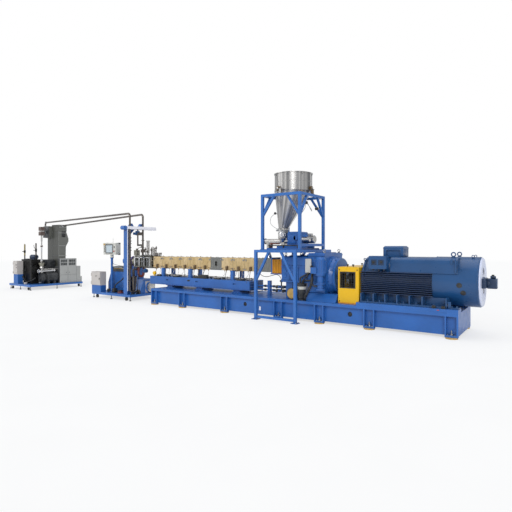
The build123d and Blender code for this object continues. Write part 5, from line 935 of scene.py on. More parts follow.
class DRESS_OT_gearbox_fittings(bpy.types.Operator):
    """Flange bolts, eyebolts, inspection covers, case, hoses and cooler disc of the gearbox"""
    bl_idname = "dress.gearbox_fittings"
    bl_label = "Gearbox fittings"

    def execute(self, context):
        bolts = Piece("gearbox_bolts", "machine_blue")
        width = sizes().frame_bolt * 0.7
        flange_z = (SCREW_Z - 0.165, SCREW_Z + 0.165)
        bolts.bolts(grid(GEARBOX_SEAM_X, (-0.462, 0.462), 1.195), UP, width)
        bolts.bolts(grid(GEARBOX_SEAM_X[:6], (-0.462, 0.462), 0.86), UP, sizes().frame_bolt * 0.6)
        bolts.bolt_circle((1.4, 0, MOTOR_AXIS_Z), RIGHT, 0.418, width, 16, math.pi / 16)
        bolts.bolts(grid(0.23, (-0.165, 0.165), flange_z), LEFT, width)
        bolts.bolts(grid(-0.17, (-0.165, 0.165), flange_z), RIGHT, width)
        bolts.bolts(grid(0.54, (-0.34, 0.34), 0.475), UP, width)

        covers = Piece("gearbox_covers", "machine_blue")
        low, high = GEARBOX_TOPS
        covers.box((0.36, -0.3, low), (0.8, 0.3, low + COVER_THICK), edge=0.004)
        covers.box((1.02, -0.28, high), (1.28, 0.28, high + COVER_THICK), edge=0.004)
        covers.rod((0.55, 0, low + COVER_THICK), (0.55, 0, 1.452), 0.055, sides=24, edge=0.004)
        covers.rods(grid(0.35, -0.45, (0.968, 1.076)), 0.012 * FRONT, 0.045, sides=24, edge=0.002)
        covers.rod((1.06, -0.45, 1.345), (1.06, -0.468, 1.345), 0.06, sides=28, edge=0.003)
        eyes = Piece("gearbox_eyebolts", "zinc")
        for place in grid(1.3, (-0.38, 0.38), high) + grid(0.32, (-0.36, 0.36), low):
            eyes.eyebolt(place, 0.065)
        eyes.bolts(grid((0.4, 0.76), (-0.26, 0.26), low + COVER_THICK), UP, 0.022)
        case = Piece("gearbox_white_case", "panel_white")
        case.box((0.905, -0.52, 1.06), (1.05, -0.476, 1.365), edge=0.012)

        hoses = Piece("gearbox_oil_hoses", "black_rubber")
        hoses.tube([(1.05, -0.5, 1.2), (1.11, -0.56, 1.13), (1.115, -0.58, 1.02), (1.1, -0.59, 0.84),
                    (1.03, -0.61, 0.66), (0.96, -0.61, 0.55), (0.93, -0.57, 0.47)], 0.028, sides=10)
        hoses.tube([(0.97, -0.5, 1.06), (0.965, -0.53, 0.98), (0.9, -0.56, 0.92), (0.86, -0.55, 0.86),
                    (0.84, -0.53, 0.8)], 0.016, sides=10)
        hoses.tube([(0.66, -0.5, 0.7), (0.7, -0.57, 0.74), (0.74, -0.57, 0.66), (0.73, -0.6, 0.54),
                    (0.7, -0.56, 0.47)], 0.018, sides=10)
        band = Piece("filter_white_band", "panel_white")
        band.rod((0.815, -0.5, 0.69), (0.815, -0.5, 0.752), 0.095, sides=32, edge=0.002)
        disc = Piece("cooler_tan_disc", "pad_tan")
        disc.rod((0.563, -0.5215, 0.58), (0.563, -0.5195, 0.58), 0.112, sides=40)
        return close_pieces()


class DRESS_OT_cooling_fittings(bpy.types.Operator):
    """Dark valves, sleeves and the bent gauge tube on the cooling pipes"""
    bl_idname = "dress.cooling_fittings"
    bl_label = "Cooling fittings"

    def execute(self, context):
        valves = Piece("cooling_valves", "dark_iron")
        y, (low, high) = COOLING_Y, COOLING_Z
        valve_x = (-0.08, 0.1)
        valves.rods(grid((-0.48, -0.23, 0.19), y, COOLING_Z), (0.06, 0, 0), 0.03, sides=18, edge=0.004)
        valves.rods(grid([x - 0.04 for x in valve_x], y, COOLING_Z), (0.08, 0, 0), 0.036, sides=18,
                    edge=0.005)
        valves.rods(grid(valve_x, y, COOLING_Z), 0.07 * FRONT, 0.014, sides=12)
        valves.rods(grid(valve_x, -0.125, COOLING_Z), 0.015 * FRONT, 0.04, sides=20, edge=0.004)
        valves.rod((0.01, y, low), (0.01, y, 0.78), 0.016, sides=12)
        valves.rod((0.01, y, 0.78), (0.01, y, 0.83), 0.038, sides=20, edge=0.006)
        valves.rod((-0.32, y, high), (-0.32, y, 0.76), 0.012, sides=12)
        valves.box((-0.36, -0.075, 0.76), (-0.28, -0.045, 0.775), edge=0.003)
        sleeves = Piece("cooling_pipe_sleeves", "pipe_brown")
        sleeves.rods(grid(-0.74, y, COOLING_Z), (1.075, 0, 0), 0.0215, sides=18)
        tube = Piece("cooling_gauge_tube", "black_rubber")
        tube.tube([(-0.6, -0.1, 0.98), (-0.5, -0.14, 0.92), (-0.36, -0.15, 0.9), (-0.22, -0.14, 0.93),
                   (-0.1, -0.12, 0.96), (-0.02, -0.09, 0.92), (0.01, y, 0.83)], 0.007)
        return close_pieces()


class DRESS_OT_motor_fittings(bpy.types.Operator):
    """Feet bolts, lifting lugs, lids, cable glands, plugs and encoder of the motor"""
    bl_idname = "dress.motor_fittings"
    bl_label = "Motor fittings"

    def execute(self, context):
        bolts = Piece("motor_foot_bolts", "motor_blue", both=True)
        width = sizes().frame_bolt
        feet = grid((2.33, 2.57, 3.03, 3.26, 3.58), -0.535, RAIL_TOP + 0.03)
        bolts.bolts(feet, UP, width * 0.8)
        bolts.rods(feet, 0.04 * UP, 0.01, sides=10)
        feet = grid((3.88, 3.96), -0.56, RAIL_TOP)
        bolts.bolts(feet, UP, width)
        bolts.rods(feet, 0.055 * UP, 0.013, sides=12)
        plugs = Piece("motor_dark_plugs", "black_plastic")
        plugs.boxes(grid((3.56, 3.72), -0.64, RAIL_TOP), (0.06, 0.042, 0.05), edge=0.004)
        plugs.rods(grid((3.59, 3.75), -0.648, RAIL_TOP + 0.028), (0, 0.05, 0), 0.016, sides=6)
        for x, rise in ((3.98, 0.09), (4.04, 0.39)):
            point, out = on_round(x, math.pi / 2 + rise, MOTOR_RADIUS)
            plugs.rod(point - out * 0.002, point + out * 0.006, 0.046, sides=24, edge=0.002)
        mark = Piece("motor_red_mark", "red_plastic")
        mark.box((3.65, -0.6545, RAIL_TOP - 0.032), (3.69, -0.6535, RAIL_TOP - 0.018))

        ends = Piece("motor_foot_ends", "motor_blue", both=True)
        ends.box((3.822, -0.59, RAIL_TOP), (3.99, -0.35, RAIL_TOP + 0.02), edge=0.003)
        ends.box((3.822, -0.59, RAIL_TOP + 0.02), (3.87, -0.575, RAIL_TOP + 0.125), edge=0.003)
        plates = Piece("rail_face_plates", "machine_blue", both=True)
        plates.box((3.53, -0.6535, RAIL_TOP - 0.062), (3.81, -0.6505, RAIL_TOP - 0.003), edge=0.001)
        lugs = Piece("motor_lifting_eyes", "motor_blue", both=True)
        for x, radius, angle, size in ((2.182, MOTOR_RADIUS - 0.02, 0.62, 0.06),
                                       (4.16, MOTOR_RADIUS, 0.3, 0.05)):
            point, out = on_round(x, angle, radius)
            lugs.eyebolt(point - out * 0.004, size, axis=out, across=(0, out.z, -out.y))
        lugs.eyebolt((3.86, -0.3, 1.418), 0.085)
        lugs.box((3.845, -0.466, 1.3), (3.875, -0.45, 1.4), edge=0.003)
        lugs.box((3.905, -0.466, 1.15), (3.935, -0.45, 1.4), edge=0.003)

        rims = Piece("motor_box_frame", "motor_blue")
        rims.boxes(grid((2.523, 2.865), (-0.177, 0.149), 1.425), (0.062, 0.028, 0.157), edge=0.004)
        rims.boxes(grid(2.585, (-0.177, 0.149), 1.55), (0.28, 0.028, 0.032), edge=0.004)
        rims.boxes(grid((2.523, 2.899), -0.15, 1.425), (0.028, 0.3, 0.157), edge=0.004)
        # Dark squares on the box lids are painted shade in their recesses.
        insets = Piece("motor_box_insets", "motor_inset", both=True)
        insets.boxes(grid((2.436, 2.576), -0.611, 1.2685), (0.098, 0.003, 0.098), edge=0.001)
        discs = Piece("motor_box_plugs", "black_plastic", both=True)
        discs.rods([(2.475, -0.611, 1.32), (2.628, -0.611, 1.325)], 0.007 * FRONT, 0.026, sides=20,
                   edge=0.002)
        beads = Piece("motor_cowl_beads", "motor_blue")
        for x in (3.525, 4.262):
            beads.ring((x, 0, MOTOR_AXIS_Z), RIGHT, MOTOR_RADIUS - 0.002, 0.006, sides=64, grain=6)
        small = Piece("motor_end_bolts", "zinc")
        small.bolt_circle((4.331, 0, MOTOR_AXIS_Z), RIGHT, 0.075, 0.014, 6, washer=False)

        glands = Piece("motor_cable_glands", "black_plastic")
        glands.rods(grid((2.45, 2.56, 2.66), -0.55, 1.19), (0, 0, -0.035), 0.018, sides=12)
        glands.rod((4.46, 0, 1.095), (4.46, 0, 1.118), 0.022)
        glands.boxes(grid(4.2995, -0.03, (0.775, 1.12)), (0.014, 0.06, 0.115))
        glands.rod((4.46, -0.0375, 1.07), (4.46, -0.075, 1.07), 0.01, sides=10)
        coder = Piece("encoder_case", "motor_inset")
        coder.box((4.312, -0.26, 0.88), (4.372, 0.112, 1.055), edge=0.008)
        coder.rod((4.365, 0, 0.965), (4.415, 0, 0.965), 0.082, sides=36, edge=0.005)
        coder.box((4.372, -0.078, 0.868), (4.5295, 0.078, 1.045), edge=0.01)
        coder.rod((4.44, -0.04, 1.074), (4.51, -0.04, 1.074), 0.021, sides=20, edge=0.003)
        for x in (4.35, 4.37, 4.39):
            coder.ring((x, 0, 0.965), RIGHT, 0.082, 0.003, sides=36, grain=4)
        return close_pieces()


class DRESS_OT_guard_fittings(bpy.types.Operator):
    """Knobs, window rims, a dark liner of painted shade and lower edges of the coupling guard"""
    bl_idname = "dress.guard_fittings"
    bl_label = "Guard fittings"

    def execute(self, context):
        knobs = Piece("guard_knobs", "black_plastic")
        knobs.rods(grid((1.85, 1.97), (-0.4, 0.4), 1.21), 0.022 * UP, 0.01, sides=10)
        knobs.rods(grid((1.85, 1.97), (-0.4, 0.4), 1.232), 0.03 * UP, 0.022, edge=0.005)
        for side in (-1, 1):
            knobs.rods(grid((1.712, 2.098), side * GUARD_HALF, (0.5, 1.15)), (0, side * 0.008, 0),
                       0.011, sides=12)
        rims = Piece("guard_window_rims", "mesh_wire", both=True)
        face, low = -GUARD_HALF - 0.004, WINDOW_Z[0]
        rims.boxes(grid(1.715, face, (low, 1.09)), (0.345, 0.004, 0.02))
        rims.boxes(grid((1.715, 2.04), face, low + 0.02), (0.02, 0.004, 0.3))

        # Thin dark sheets inside are painted shade that makes the guard look hollow behind its windows.
        liner = Piece("guard_dark_liner", "black_plastic")
        (left, right), (near, far), (sill, head) = GUARD_X, WINDOW_X, WINDOW_Z
        for x0, x1, z0, z1 in ((left, near, 0.452, 1.201), (far, right, 0.452, 1.201),
                               (near, far, 0.452, sill), (near, far, head, 1.201)):
            liner.boxes(grid(x0, (-0.4915, 0.4885), z0), (x1 - x0, 0.003, z1 - z0))
        liner.box((left, -0.48, 1.1985), (right, 0.48, 1.2015))
        liner.boxes(grid((1.6885, 2.1185), (-0.488, 0.2), 0.47), (0.003, 0.288, 0.725))
        edges = Piece("guard_lower_edges", "lantern_yellow", both=True)
        edges.box((1.682, -GUARD_HALF - 0.006, 0.45), (2.128, -GUARD_HALF, 0.478))
        return close_pieces()


HOPPER_RADIUS = 0.44
RIM_Z = 3.33
CELL_Z = 2.965
STIRRER_Y, STIRRER_Z = -0.16, 1.8
DECK_POST_Z = 1.56


def from_hopper(angle, reach, z, shift=0.0):
    """Point at a reach from the hopper's upright axis, and the way out to it."""
    out = Vector((math.cos(angle), math.sin(angle), 0))
    return Vector((HOPPER_X + shift, HOPPER_Y, z)) + out * reach, out


class DRESS_OT_hopper_fittings(bpy.types.Operator):
    """Seams, rim clamps, load cells, knobs, level sensors and leads of the hopper"""
    bl_idname = "dress.hopper_fittings"
    bl_label = "Hopper fittings"

    def execute(self, context):
        clamps = Piece("hopper_rim_clamps", "zinc")
        for angle in around(8, 0.2):
            foot, out = from_hopper(angle, HOPPER_RADIUS + 0.001, RIM_Z - 0.045)
            clamps.rod(foot, foot + out * 0.014, 0.014, sides=10)
            clamps.rod(foot + out * 0.012, foot + out * 0.012 + 0.05 * UP, 0.005, sides=8)
        seams = Piece("hopper_weld_seams", "stainless")
        seams.ring((HOPPER_X, HOPPER_Y, RIM_Z - 0.2), UP, HOPPER_RADIUS, 0.0035, sides=64, grain=6)
        seams.rods([from_hopper(angle, HOPPER_RADIUS + 0.0005, WAIST_Z + 0.02)[0]
                    for angle in (0.9, 2.9)], 0.36 * UP, 0.003, sides=6)

        cells = Piece("hopper_load_cells", "rust_dark")
        caps = Piece("hopper_load_cell_caps", "stainless")
        for x, y in ((-0.115, HOPPER_Y), (0.855, HOPPER_Y), (HOPPER_X, -0.655), (HOPPER_X, 0.455)):
            cells.rod((x, y, 2.842), (x, y, 2.925), 0.034, sides=20, edge=0.004)
            cells.bolt((x, y, 2.942), UP, 0.026)
        for angle in (-1.87, 0.0):
            foot, out = from_hopper(angle, HOPPER_RADIUS - 0.012, CELL_Z)
            end, hub = foot + out * 0.07, foot + out * 0.04
            cells.rod(foot, end, 0.052, sides=28, edge=0.006)
            cells.box(hub - Vector((0.03, 0.03, 0.055)), hub + Vector((0.03, 0.03, -0.02)), edge=0.004)
            caps.rod(end, end + out * 0.008, 0.03, sides=24, edge=0.002)
        knobs = Piece("hopper_knobs", "black_plastic")
        knobs.rod((-0.035, -0.06, 2.4), (-0.15, -0.1, 2.44), 0.008, sides=10)
        knobs.rod((-0.128, -0.092, 2.432), (-0.166, -0.105, 2.446), 0.03, sides=20, edge=0.008)
        knobs.rods([(0.77, -0.3, 2.62), (0.785, 0.2, 2.52)], (0.075, 0, 0), 0.034, sides=20, edge=0.008)
        sensors = Piece("hopper_level_sensors", "dark_iron")
        for angle, z, shift, wall in ((1.3, 3.02, 0.0, HOPPER_RADIUS), (-0.3, 2.62, -0.115, 0.31)):
            foot, out = from_hopper(angle, wall, z, shift)
            sensors.rod(foot - out * 0.02, foot + out * 0.055, 0.02, sides=14)
            sensors.rod(foot + out * 0.05, foot + out * 0.08, 0.028, sides=14, edge=0.004)

        leads = Piece("hopper_sensor_cable", "gray_cable")
        leads.tube([(0.76, -0.24, 2.6), (0.79, -0.3, 2.52), (0.76, -0.36, 2.42), (0.7, -0.4, 2.36),
                    (0.72, -0.48, 2.38), (0.8, -0.56, 2.46), (0.815, -0.61, 2.52)], 0.006, sides=6)
        leads.tube([(-0.15, -0.1, 2.43), (-0.22, -0.16, 2.34), (-0.2, -0.22, 2.2), (-0.08, -0.25, 2.1),
                    (0.02, -0.2, 2.04)], 0.005, sides=6)
        leads.tube([(0.86, -0.3, 2.6), (0.88, -0.24, 2.5), (0.86, -0.12, 2.44), (0.8, -0.04, 2.5),
                    (0.74, -0.08, 2.6), (0.72, -0.2, 2.66)], 0.006, sides=6)
        return close_pieces()


class DRESS_OT_feeder_fittings(bpy.types.Operator):
    """Valve rings, round valve, pipes, stirrer motor, boxes and post plates of the feeder"""
    bl_idname = "dress.feeder_fittings"
    bl_label = "Feeder fittings"

    def execute(self, context):
        rings = Piece("feeder_valve_rings", "zinc")
        for z, radius in ((2.04, 0.128), (1.985, 0.128), (1.952, 0.128), (1.84, 0.126)):
            rings.ring((OUTLET_X, OUTLET_Y, z), UP, radius, 0.007, sides=32, grain=6)
        rings.bolt_circle((OUTLET_X, OUTLET_Y, 2.062), UP, 0.124, 0.016, 10, washer=False)
        rings.rod((-0.115, 0, 2.03), (-0.175, 0, 2.03), 0.022, edge=0.003)
        valve = Piece("feeder_round_valve", "bright_steel")
        valve.rod((0.096, -0.11, 1.925), (0.096, -0.19, 1.925), 0.072, sides=32, edge=0.012)
        valve.rod((0.096, -0.19, 1.925), (0.096, -0.215, 1.925), 0.026, sides=18, edge=0.003)
        valve.box((0.02, -0.2, 1.99), (0.17, -0.15, 2.012), edge=0.004)
        sleeve = Piece("feeder_sleeve", "gray_cable")
        sleeve.rod((OUTLET_X, OUTLET_Y, 1.962), (OUTLET_X, OUTLET_Y, 2.034), 0.112, sides=28)

        pipe = Piece("feeder_air_pipe", "dark_iron")
        pipe.tube(grid((-0.06, 0.2, 0.48, 0.78), -0.52, 1.655), 0.013, sides=10, steps=2)
        pipe.boxes(grid((-0.032, 0.338, 0.708), -0.54, 1.572), (0.024, 0.04, 0.1), edge=0.003)
        red = Piece("feeder_red_pipe", "copper")
        red.rod((-0.03, -0.42, 1.7), (0.19, -0.42, 1.7), 0.016, sides=12)
        red.box((-0.05, -0.45, 1.6), (-0.02, -0.39, 1.725), edge=0.004)
        motor = Piece("feeder_stirrer_motor", "stainless")
        shaft, fan, tail = grid((0.592, 0.62, 0.835), STIRRER_Y, STIRRER_Z)
        motor.rod(fan, tail, 0.055, sides=24, edge=0.005)
        motor.rod(shaft, fan, 0.038, sides=18)
        for place in grid([0.64 + 0.026 * k for k in range(7)], STIRRER_Y, STIRRER_Z):
            motor.ring(place, RIGHT, 0.055, 0.004, sides=24, grain=4)
        boxes = Piece("feeder_connection_boxes", "machine_blue")
        boxes.box((0.665, -0.21, 1.85), (0.765, -0.11, 1.905), edge=0.006)
        boxes.box((0.3, -0.235, 1.7), (0.5, -0.212, 1.9), edge=0.004)

        bolts = Piece("platform_bolts", "zinc")
        bolts.bolts(grid((0.255, 0.605), (-0.18, 0.18), 1.68), UP, 0.02)
        bolts.bolts(grid((-0.152, -0.048, 0.848, 0.952), (-0.989, -0.885, 0.668, 0.772), 0.012), UP,
                    0.019)
        bolts.boxes(grid((-0.168, -0.078, 0.802, 0.892), (-0.695, 0.425), DECK_POST_Z),
                    (0.016, 0.06, 0.008))
        plates = Piece("platform_post_plates", "frame_light")
        plates.boxes(grid((-0.175, 0.795), (-0.7, 0.42), DECK_POST_Z + 0.0005), (0.12, 0.07, 0.0115),
                     edge=0.002)
        return close_pieces()


PANEL_FACE_Y = -0.425
COLUMN_RIGHT_X = -5.135
DIE_TOP_Z = 1.369
DIE_WINDOWS = ((-5.26, -5.11), (-5.04, -4.89), (-4.82, -4.65))
DIE_WINDOW_Z = (1.051, 1.284)
CHAMBER_X, DIE_END_X = -5.562, -4.4955
SKID_DECK_Z = 0.185


class DRESS_OT_panel_fittings(bpy.types.Operator):
    """Screen, dark frame, buttons and corner clamps of the control panel, and its cables"""
    bl_idname = "dress.panel_fittings"
    bl_label = "Panel fittings"

    def execute(self, context):
        front = PANEL_FACE_Y
        rim = Piece("panel_dark_frame", "screen_frame", "panel")
        rim.boxes(grid(-6.452, front - 0.018, (1.427, 1.694)), (0.384, 0.004, 0.027), edge=0.001)
        rim.boxes(grid((-6.452, -6.095), front - 0.018, 1.454), (0.027, 0.004, 0.24), edge=0.001)
        rim.boxes(grid((-6.59, -5.983), -0.314, (1.379, 1.727)), (0.054, 0.068, 0.042), edge=0.004)
        glass = Piece("panel_screen", "screen", "panel")
        glass.box((-6.424, front - 0.006, 1.455), (-6.096, front - 0.002, 1.693))
        socket = Piece("panel_tan_socket", "pad_tan", "panel")
        socket.box((-6.565, front - 0.014, 1.69), (-6.48, front, 1.742), edge=0.003)
        knobs = Piece("panel_buttons", "black_plastic", "panel")
        knobs.rods(grid(-6.515, front, (1.64, 1.59, 1.54, 1.49)), 0.015 * FRONT, 0.013, edge=0.002)
        knobs.box((-6.03, front - 0.006, 1.6), (-5.99, front, 1.66), edge=0.002)
        stop = Piece("panel_stop_button", "red_plastic", "panel")
        stop.rod((-6.01, front, 1.5), (-6.01, front - 0.023, 1.5), 0.021, sides=20, edge=0.003)
        plate = Piece("panel_side_plate", "panel_white", "panel")
        plate.box((-5.9385, -0.4, 1.405), (-5.9345, -0.26, 1.743), edge=0.001)
        plate.rods(grid(-5.9365, -0.345, (1.45, 1.7)), (0.0105, 0, 0), 0.01, sides=12)

        cables = Piece("panel_cables", "gray_cable")
        cables.tube([(-6.225, -0.34, 1.06), (-6.1, -0.4, 1.02), (-5.9, -0.44, 0.99),
                     (-5.65, -0.47, 1.0), (-5.45, -0.5, 0.97), (-5.305, -0.52, 0.98)], 0.011)
        cables.tube([(-6.225, -0.32, 1.12), (-6.08, -0.36, 1.08), (-5.8, -0.4, 1.05),
                     (-5.5, -0.46, 1.04), (-5.305, -0.5, 1.03)], 0.008)
        bolts = Piece("panel_post_bolts", "zinc")
        bolts.bolt_circle((-6.26, -0.33, 0.199), UP, 0.068, 0.018, 4, math.pi / 4)
        return close_pieces()


class DRESS_OT_skid_fittings(bpy.types.Operator):
    """Cabinet lock, console trim, column brackets and the small gear of the pelletiser skid"""
    bl_idname = "dress.skid_fittings"
    bl_label = "Skid fittings"

    def execute(self, context):
        lock = Piece("pelletiser_door_lock", "black_plastic", "pelletiser_door")
        lock.box((-6.7, -0.64, 0.69), (-6.64, -0.632, 0.712), edge=0.002)
        lock.rod((-6.49, -0.632, 0.63), (-6.49, -0.645, 0.63), 0.014, sides=14)
        lock.box((-6.5, -0.652, 0.585), (-6.48, -0.64, 0.64), edge=0.003)

        band = Piece("console_dark_band", "band_dark")
        band.box((-6.445, -0.22, 0.925), (-5.712, -0.2155, 1.006), edge=0.001)
        band.box((-6.42, -0.206, 0.84), (-5.735, -0.2005, 0.925), edge=0.001)
        band.box((-6.44, -0.215, 1.002), (-5.715, 0.535, 1.005))
        strip = Piece("console_tan_strip", "pad_tan")
        strip.box((-6.3, -0.2235, 0.935), (-5.85, -0.2198, 0.947))
        blocks = Piece("console_floor_blocks", "black_rubber")
        for x, y, wide, high in ((-6.42, -0.4, 0.13, 0.1), (-6.12, -0.43, 0.12, 0.13),
                                 (-5.93, -0.36, 0.1, 0.08)):
            blocks.box((x, y, SKID_DECK_Z), (x + wide, y + 0.12, SKID_DECK_Z + high), edge=0.006)
        blocks.tube([(-6.06, -0.37, 0.31), (-5.98, -0.4, 0.42), (-5.8, -0.42, 0.52), (-5.6, -0.45, 0.6),
                     (-5.42, -0.48, 0.72), (-5.305, -0.5, 0.8)], 0.02, sides=10)
        red = Piece("console_red_valve", "oxide_red")
        red.box((-5.8, -0.46, SKID_DECK_Z), (-5.62, -0.34, 0.225), edge=0.004)
        red.rod((-5.71, -0.4, 0.225), (-5.71, -0.4, 0.262), 0.03, sides=18, edge=0.003)

        clamps = Piece("column_pipe_clamps", "black_plastic")
        clamps.boxes(grid(COLUMN_RIGHT_X, -0.5, (1.52, 1.6, 1.72, 1.8, 1.9)), (0.035, 0.038, 0.022),
                     edge=0.002)
        clamps.box((COLUMN_RIGHT_X, -0.52, 0.95), (COLUMN_RIGHT_X + 0.05, -0.462, 1.12), edge=0.004)
        clamps.boxes(grid(-5.136, -0.566, (0.6, 1.1, 1.6, 2.05)), (0.078, 0.072, 0.018))
        # The pale cover runs outside the two pipes; its strip down the edge of the column is a painted
        # highlight.
        cover = Piece("arm_pale_cover", "rail_white")
        cover.box((-5.06, -0.6, 2.17), (-5.052, 0.458, 2.26), edge=0.002)
        cover.box((-5.136, -0.6, 2.17), (-5.052, -0.594, 2.26), edge=0.002)
        cover.boxes(grid(-5.136, (-0.36, -0.22, 0.16, 0.42), 2.185), (0.078, 0.02, 0.06), edge=0.002)
        # Painted highlight: a white strip down the column's front edge.
        cover.box((-5.136, -0.599, 0.3), (-5.128, -0.566, 2.18), edge=0.002)

        sleeve = Piece("bypass_actuator_cover", "motor_blue")
        sleeve.rod((-5.095, -0.388, 2.04), (-5.095, -0.296, 2.04), 0.04, sides=24, edge=0.003)
        sleeve.rod((-5.095, -0.296, 2.04), (-5.095, -0.29, 2.04), 0.054, sides=24)
        sleeve.box((-5.135, -0.3, 2.075), (-5.055, -0.19, 2.125), edge=0.006)
        plate = Piece("carriage_side_plate", "cabinet_gray")
        plate.box((-5.062, 0.03, 0.2), (-5.053, 0.41, 0.56), edge=0.002)
        disc = Piece("blower_bright_disc", "stainless")
        disc.rod((-4.996, 0.2, 0.365), (-4.991, 0.2, 0.365), 0.15, sides=36, edge=0.002)
        disc.bolt_circle((-4.991, 0.2, 0.365), RIGHT, 0.125, 0.014, 8)
        return close_pieces()


class DRESS_OT_die_fittings(bpy.types.Operator):
    """Window inserts of painted shade, bolts, valves, elbow and fine pipes round the die head"""
    bl_idname = "dress.die_fittings"
    bl_label = "Die fittings"

    def execute(self, context):
        sill, head = DIE_WINDOW_Z
        # Black backs in the windows are painted shade inside the die.
        backs = Piece("die_window_backs", "black_plastic", both=True)
        for x0, x1 in DIE_WINDOWS:
            backs.box((x0, -0.15, sill), (x1, -0.1352, head))
        gear = Piece("die_bolts_and_rods", "zinc")
        for side in (-1, 1):
            for x in (sum(window) / 2 for window in DIE_WINDOWS):
                gear.rods(grid((x - 0.035, x + 0.03), side * 0.166, sill), (head - sill) * UP, 0.01,
                          sides=12)
                gear.rod((x - 0.05, side * 0.17, 1.19), (x + 0.05, side * 0.17, 1.19), 0.014, sides=12)
            gear.bolts(grid((-5.31, -5.075, -4.855, -4.6), side * 0.19, (1.03, 1.31)), (0, side, 0),
                       0.026)
        gear.bolts(grid((-5.25, -5.16, -4.98, -4.78, -4.6), (-0.175, 0.175), DIE_TOP_Z), UP, 0.028)
        gear.bolt_circle((CHAMBER_X + 0.002, 0, SCREW_Z), LEFT, 0.15, 0.02, 12, 0.2)
        gear.bolt_circle((DIE_END_X - 0.0015, 0, SCREW_Z), RIGHT, 0.186, 0.022, 12, 0.2)
        bars = Piece("die_bright_bars", "bright_steel")
        # The bright bars on both faces are painted highlights on the die steel; the thin plate on top
        # is pale steel.
        for y in (-0.1965, 0.1902):
            for x0, x1 in ((-5.318, -5.275), (-5.095, -5.055), (-4.872, -4.838), (-4.63, -4.6)):
                bars.box((x0, y, 1.012), (x1, y + 0.0063, 1.335), edge=0.002)
            bars.box((-5.255, y, 1.3), (-4.655, y + 0.0063, 1.322), edge=0.002)
        bars.box((-5.27, -0.195, DIE_TOP_Z - 0.0005), (-4.547, 0.195, DIE_TOP_Z + 0.0045), edge=0.001)
        violet = Piece("chamber_violet_flange", "lilac_flange")
        violet.rod((CHAMBER_X, 0, SCREW_Z), (CHAMBER_X + 0.035, 0, SCREW_Z), 0.1705, sides=48,
                   edge=0.002)
        brown = Piece("die_brown_flange", "pipe_brown")
        brown.rod((DIE_END_X - 0.0385, 0, SCREW_Z), (DIE_END_X, 0, SCREW_Z), 0.2065, sides=48,
                  edge=0.002)

        valve = Piece("die_blue_valve", "motor_blue")
        valve.rod((-4.75, -0.285, 0.905), (-4.75, -0.165, 0.905), 0.058, sides=32, edge=0.006)
        valve.rod((-4.75, -0.3, 0.905), (-4.75, -0.285, 0.905), 0.03, sides=20)
        valve.rod((-4.75, -0.225, 0.96), (-4.75, -0.225, 0.985), 0.024)
        cap = Piece("die_yellow_cap", "guard_yellow")
        cap.rod((-4.29, -0.295, 0.86), (-4.29, -0.235, 0.86), 0.054, sides=28, edge=0.005)
        cap.rod((-4.29, -0.265, 0.775), (-4.29, -0.265, 0.815), 0.016, sides=12)
        elbow = Piece("die_oxide_elbow", "oxide_red")
        elbow.tube([(-5.16, -0.15, 0.99), (-5.16, -0.155, 0.87), (-5.12, -0.165, 0.76),
                    (-5.02, -0.17, 0.73), (-4.93, -0.17, 0.76), (-4.9, -0.165, 0.86),
                    (-4.9, -0.16, 0.99)], 0.036, sides=14)

        lines = Piece("die_steel_lines", "pipe_brown")
        for x, y, top in ((-5.24, -0.12, 1.56), (-5.02, -0.13, 1.7), (-4.97, -0.04, 1.62),
                          (-4.79, -0.13, 1.55), (-4.63, -0.1, 1.6), (-4.58, 0.05, 1.66)):
            lines.rod((x, y, DIE_TOP_Z), (x, y, top), 0.011, sides=12)
            lines.rod((x, y, top - 0.09), (x, y, top - 0.03), 0.024, sides=14, edge=0.003)
            lines.rod((x, y - 0.05, top - 0.06), (x, y + 0.03, top - 0.06), 0.009, sides=10)
        lines.tube([(-5.24, -0.12, 1.56), (-5.2, -0.12, 1.6), (-5.1, -0.12, 1.62),
                    (-5.02, -0.13, 1.66)], 0.01)
        lines.tube([(-4.63, -0.1, 1.6), (-4.55, -0.1, 1.63), (-4.48, -0.08, 1.55), (-4.42, -0.06, 1.4),
                    (-4.4, -0.05, 1.35)], 0.01)
        rail = Piece("die_valve_rail", "pipe_brown")
        rail.rod((-4.46, -0.1, 1.415), (-4.18, -0.1, 1.415), 0.012, sides=12)
        valve_x = (-4.43, -4.34, -4.25, -4.19)
        rail.rods(grid(valve_x, -0.1, 1.345), 0.07 * UP, 0.009, sides=10)
        rail.rods(grid(valve_x, -0.1, 1.415), 0.035 * UP, 0.018, sides=14, edge=0.002)
        rail.boxes(grid([x - 0.028 for x in valve_x], -0.106, 1.45), (0.056, 0.012, 0.01), edge=0.002)
        hoses = Piece("die_black_hoses", "black_rubber")
        hoses.tube([(-5.22, -0.19, 1.1), (-5.22, -0.25, 1.02), (-5.2, -0.28, 0.85), (-5.16, -0.3, 0.6),
                    (-5.15, -0.31, 0.4), (-5.12, -0.32, 0.19)], 0.011)
        hoses.tube([(-5.0, -0.19, 1.04), (-5.0, -0.24, 0.92), (-5.02, -0.27, 0.7), (-5.05, -0.28, 0.45),
                    (-5.06, -0.3, 0.19)], 0.009)
        hoses.tube([(-4.86, -0.19, 1.05), (-4.86, -0.23, 0.98), (-4.8, -0.24, 0.93)], 0.012)
        return close_pieces()


DRYER_DECK_Z = 0.205
TANK_TOP_Z = 1.152
RISER_X, RISER_Y = -10.86, -0.225
HEATER_Y, HEATER_Z = -0.26, 1.247
BRIGHT_PIPE_Z = 0.7
PUMP_X, PUMP_Z = -10.86, 0.455
HOOD_HUB = (-11.52, 0.3295, 2.255)
TOWER_SIDE_X, TOWER_FRONT_Y = -10.8795, 0.4745
HOUSING_SIDE_X = -10.7
OVERHEAD_PIPES = (((-11.76, 0.4, 2.645), (-5.095, -0.53, 2.645)),
                  ((-10.91, 0.64, 2.5), (-5.095, -0.039, 2.645)))


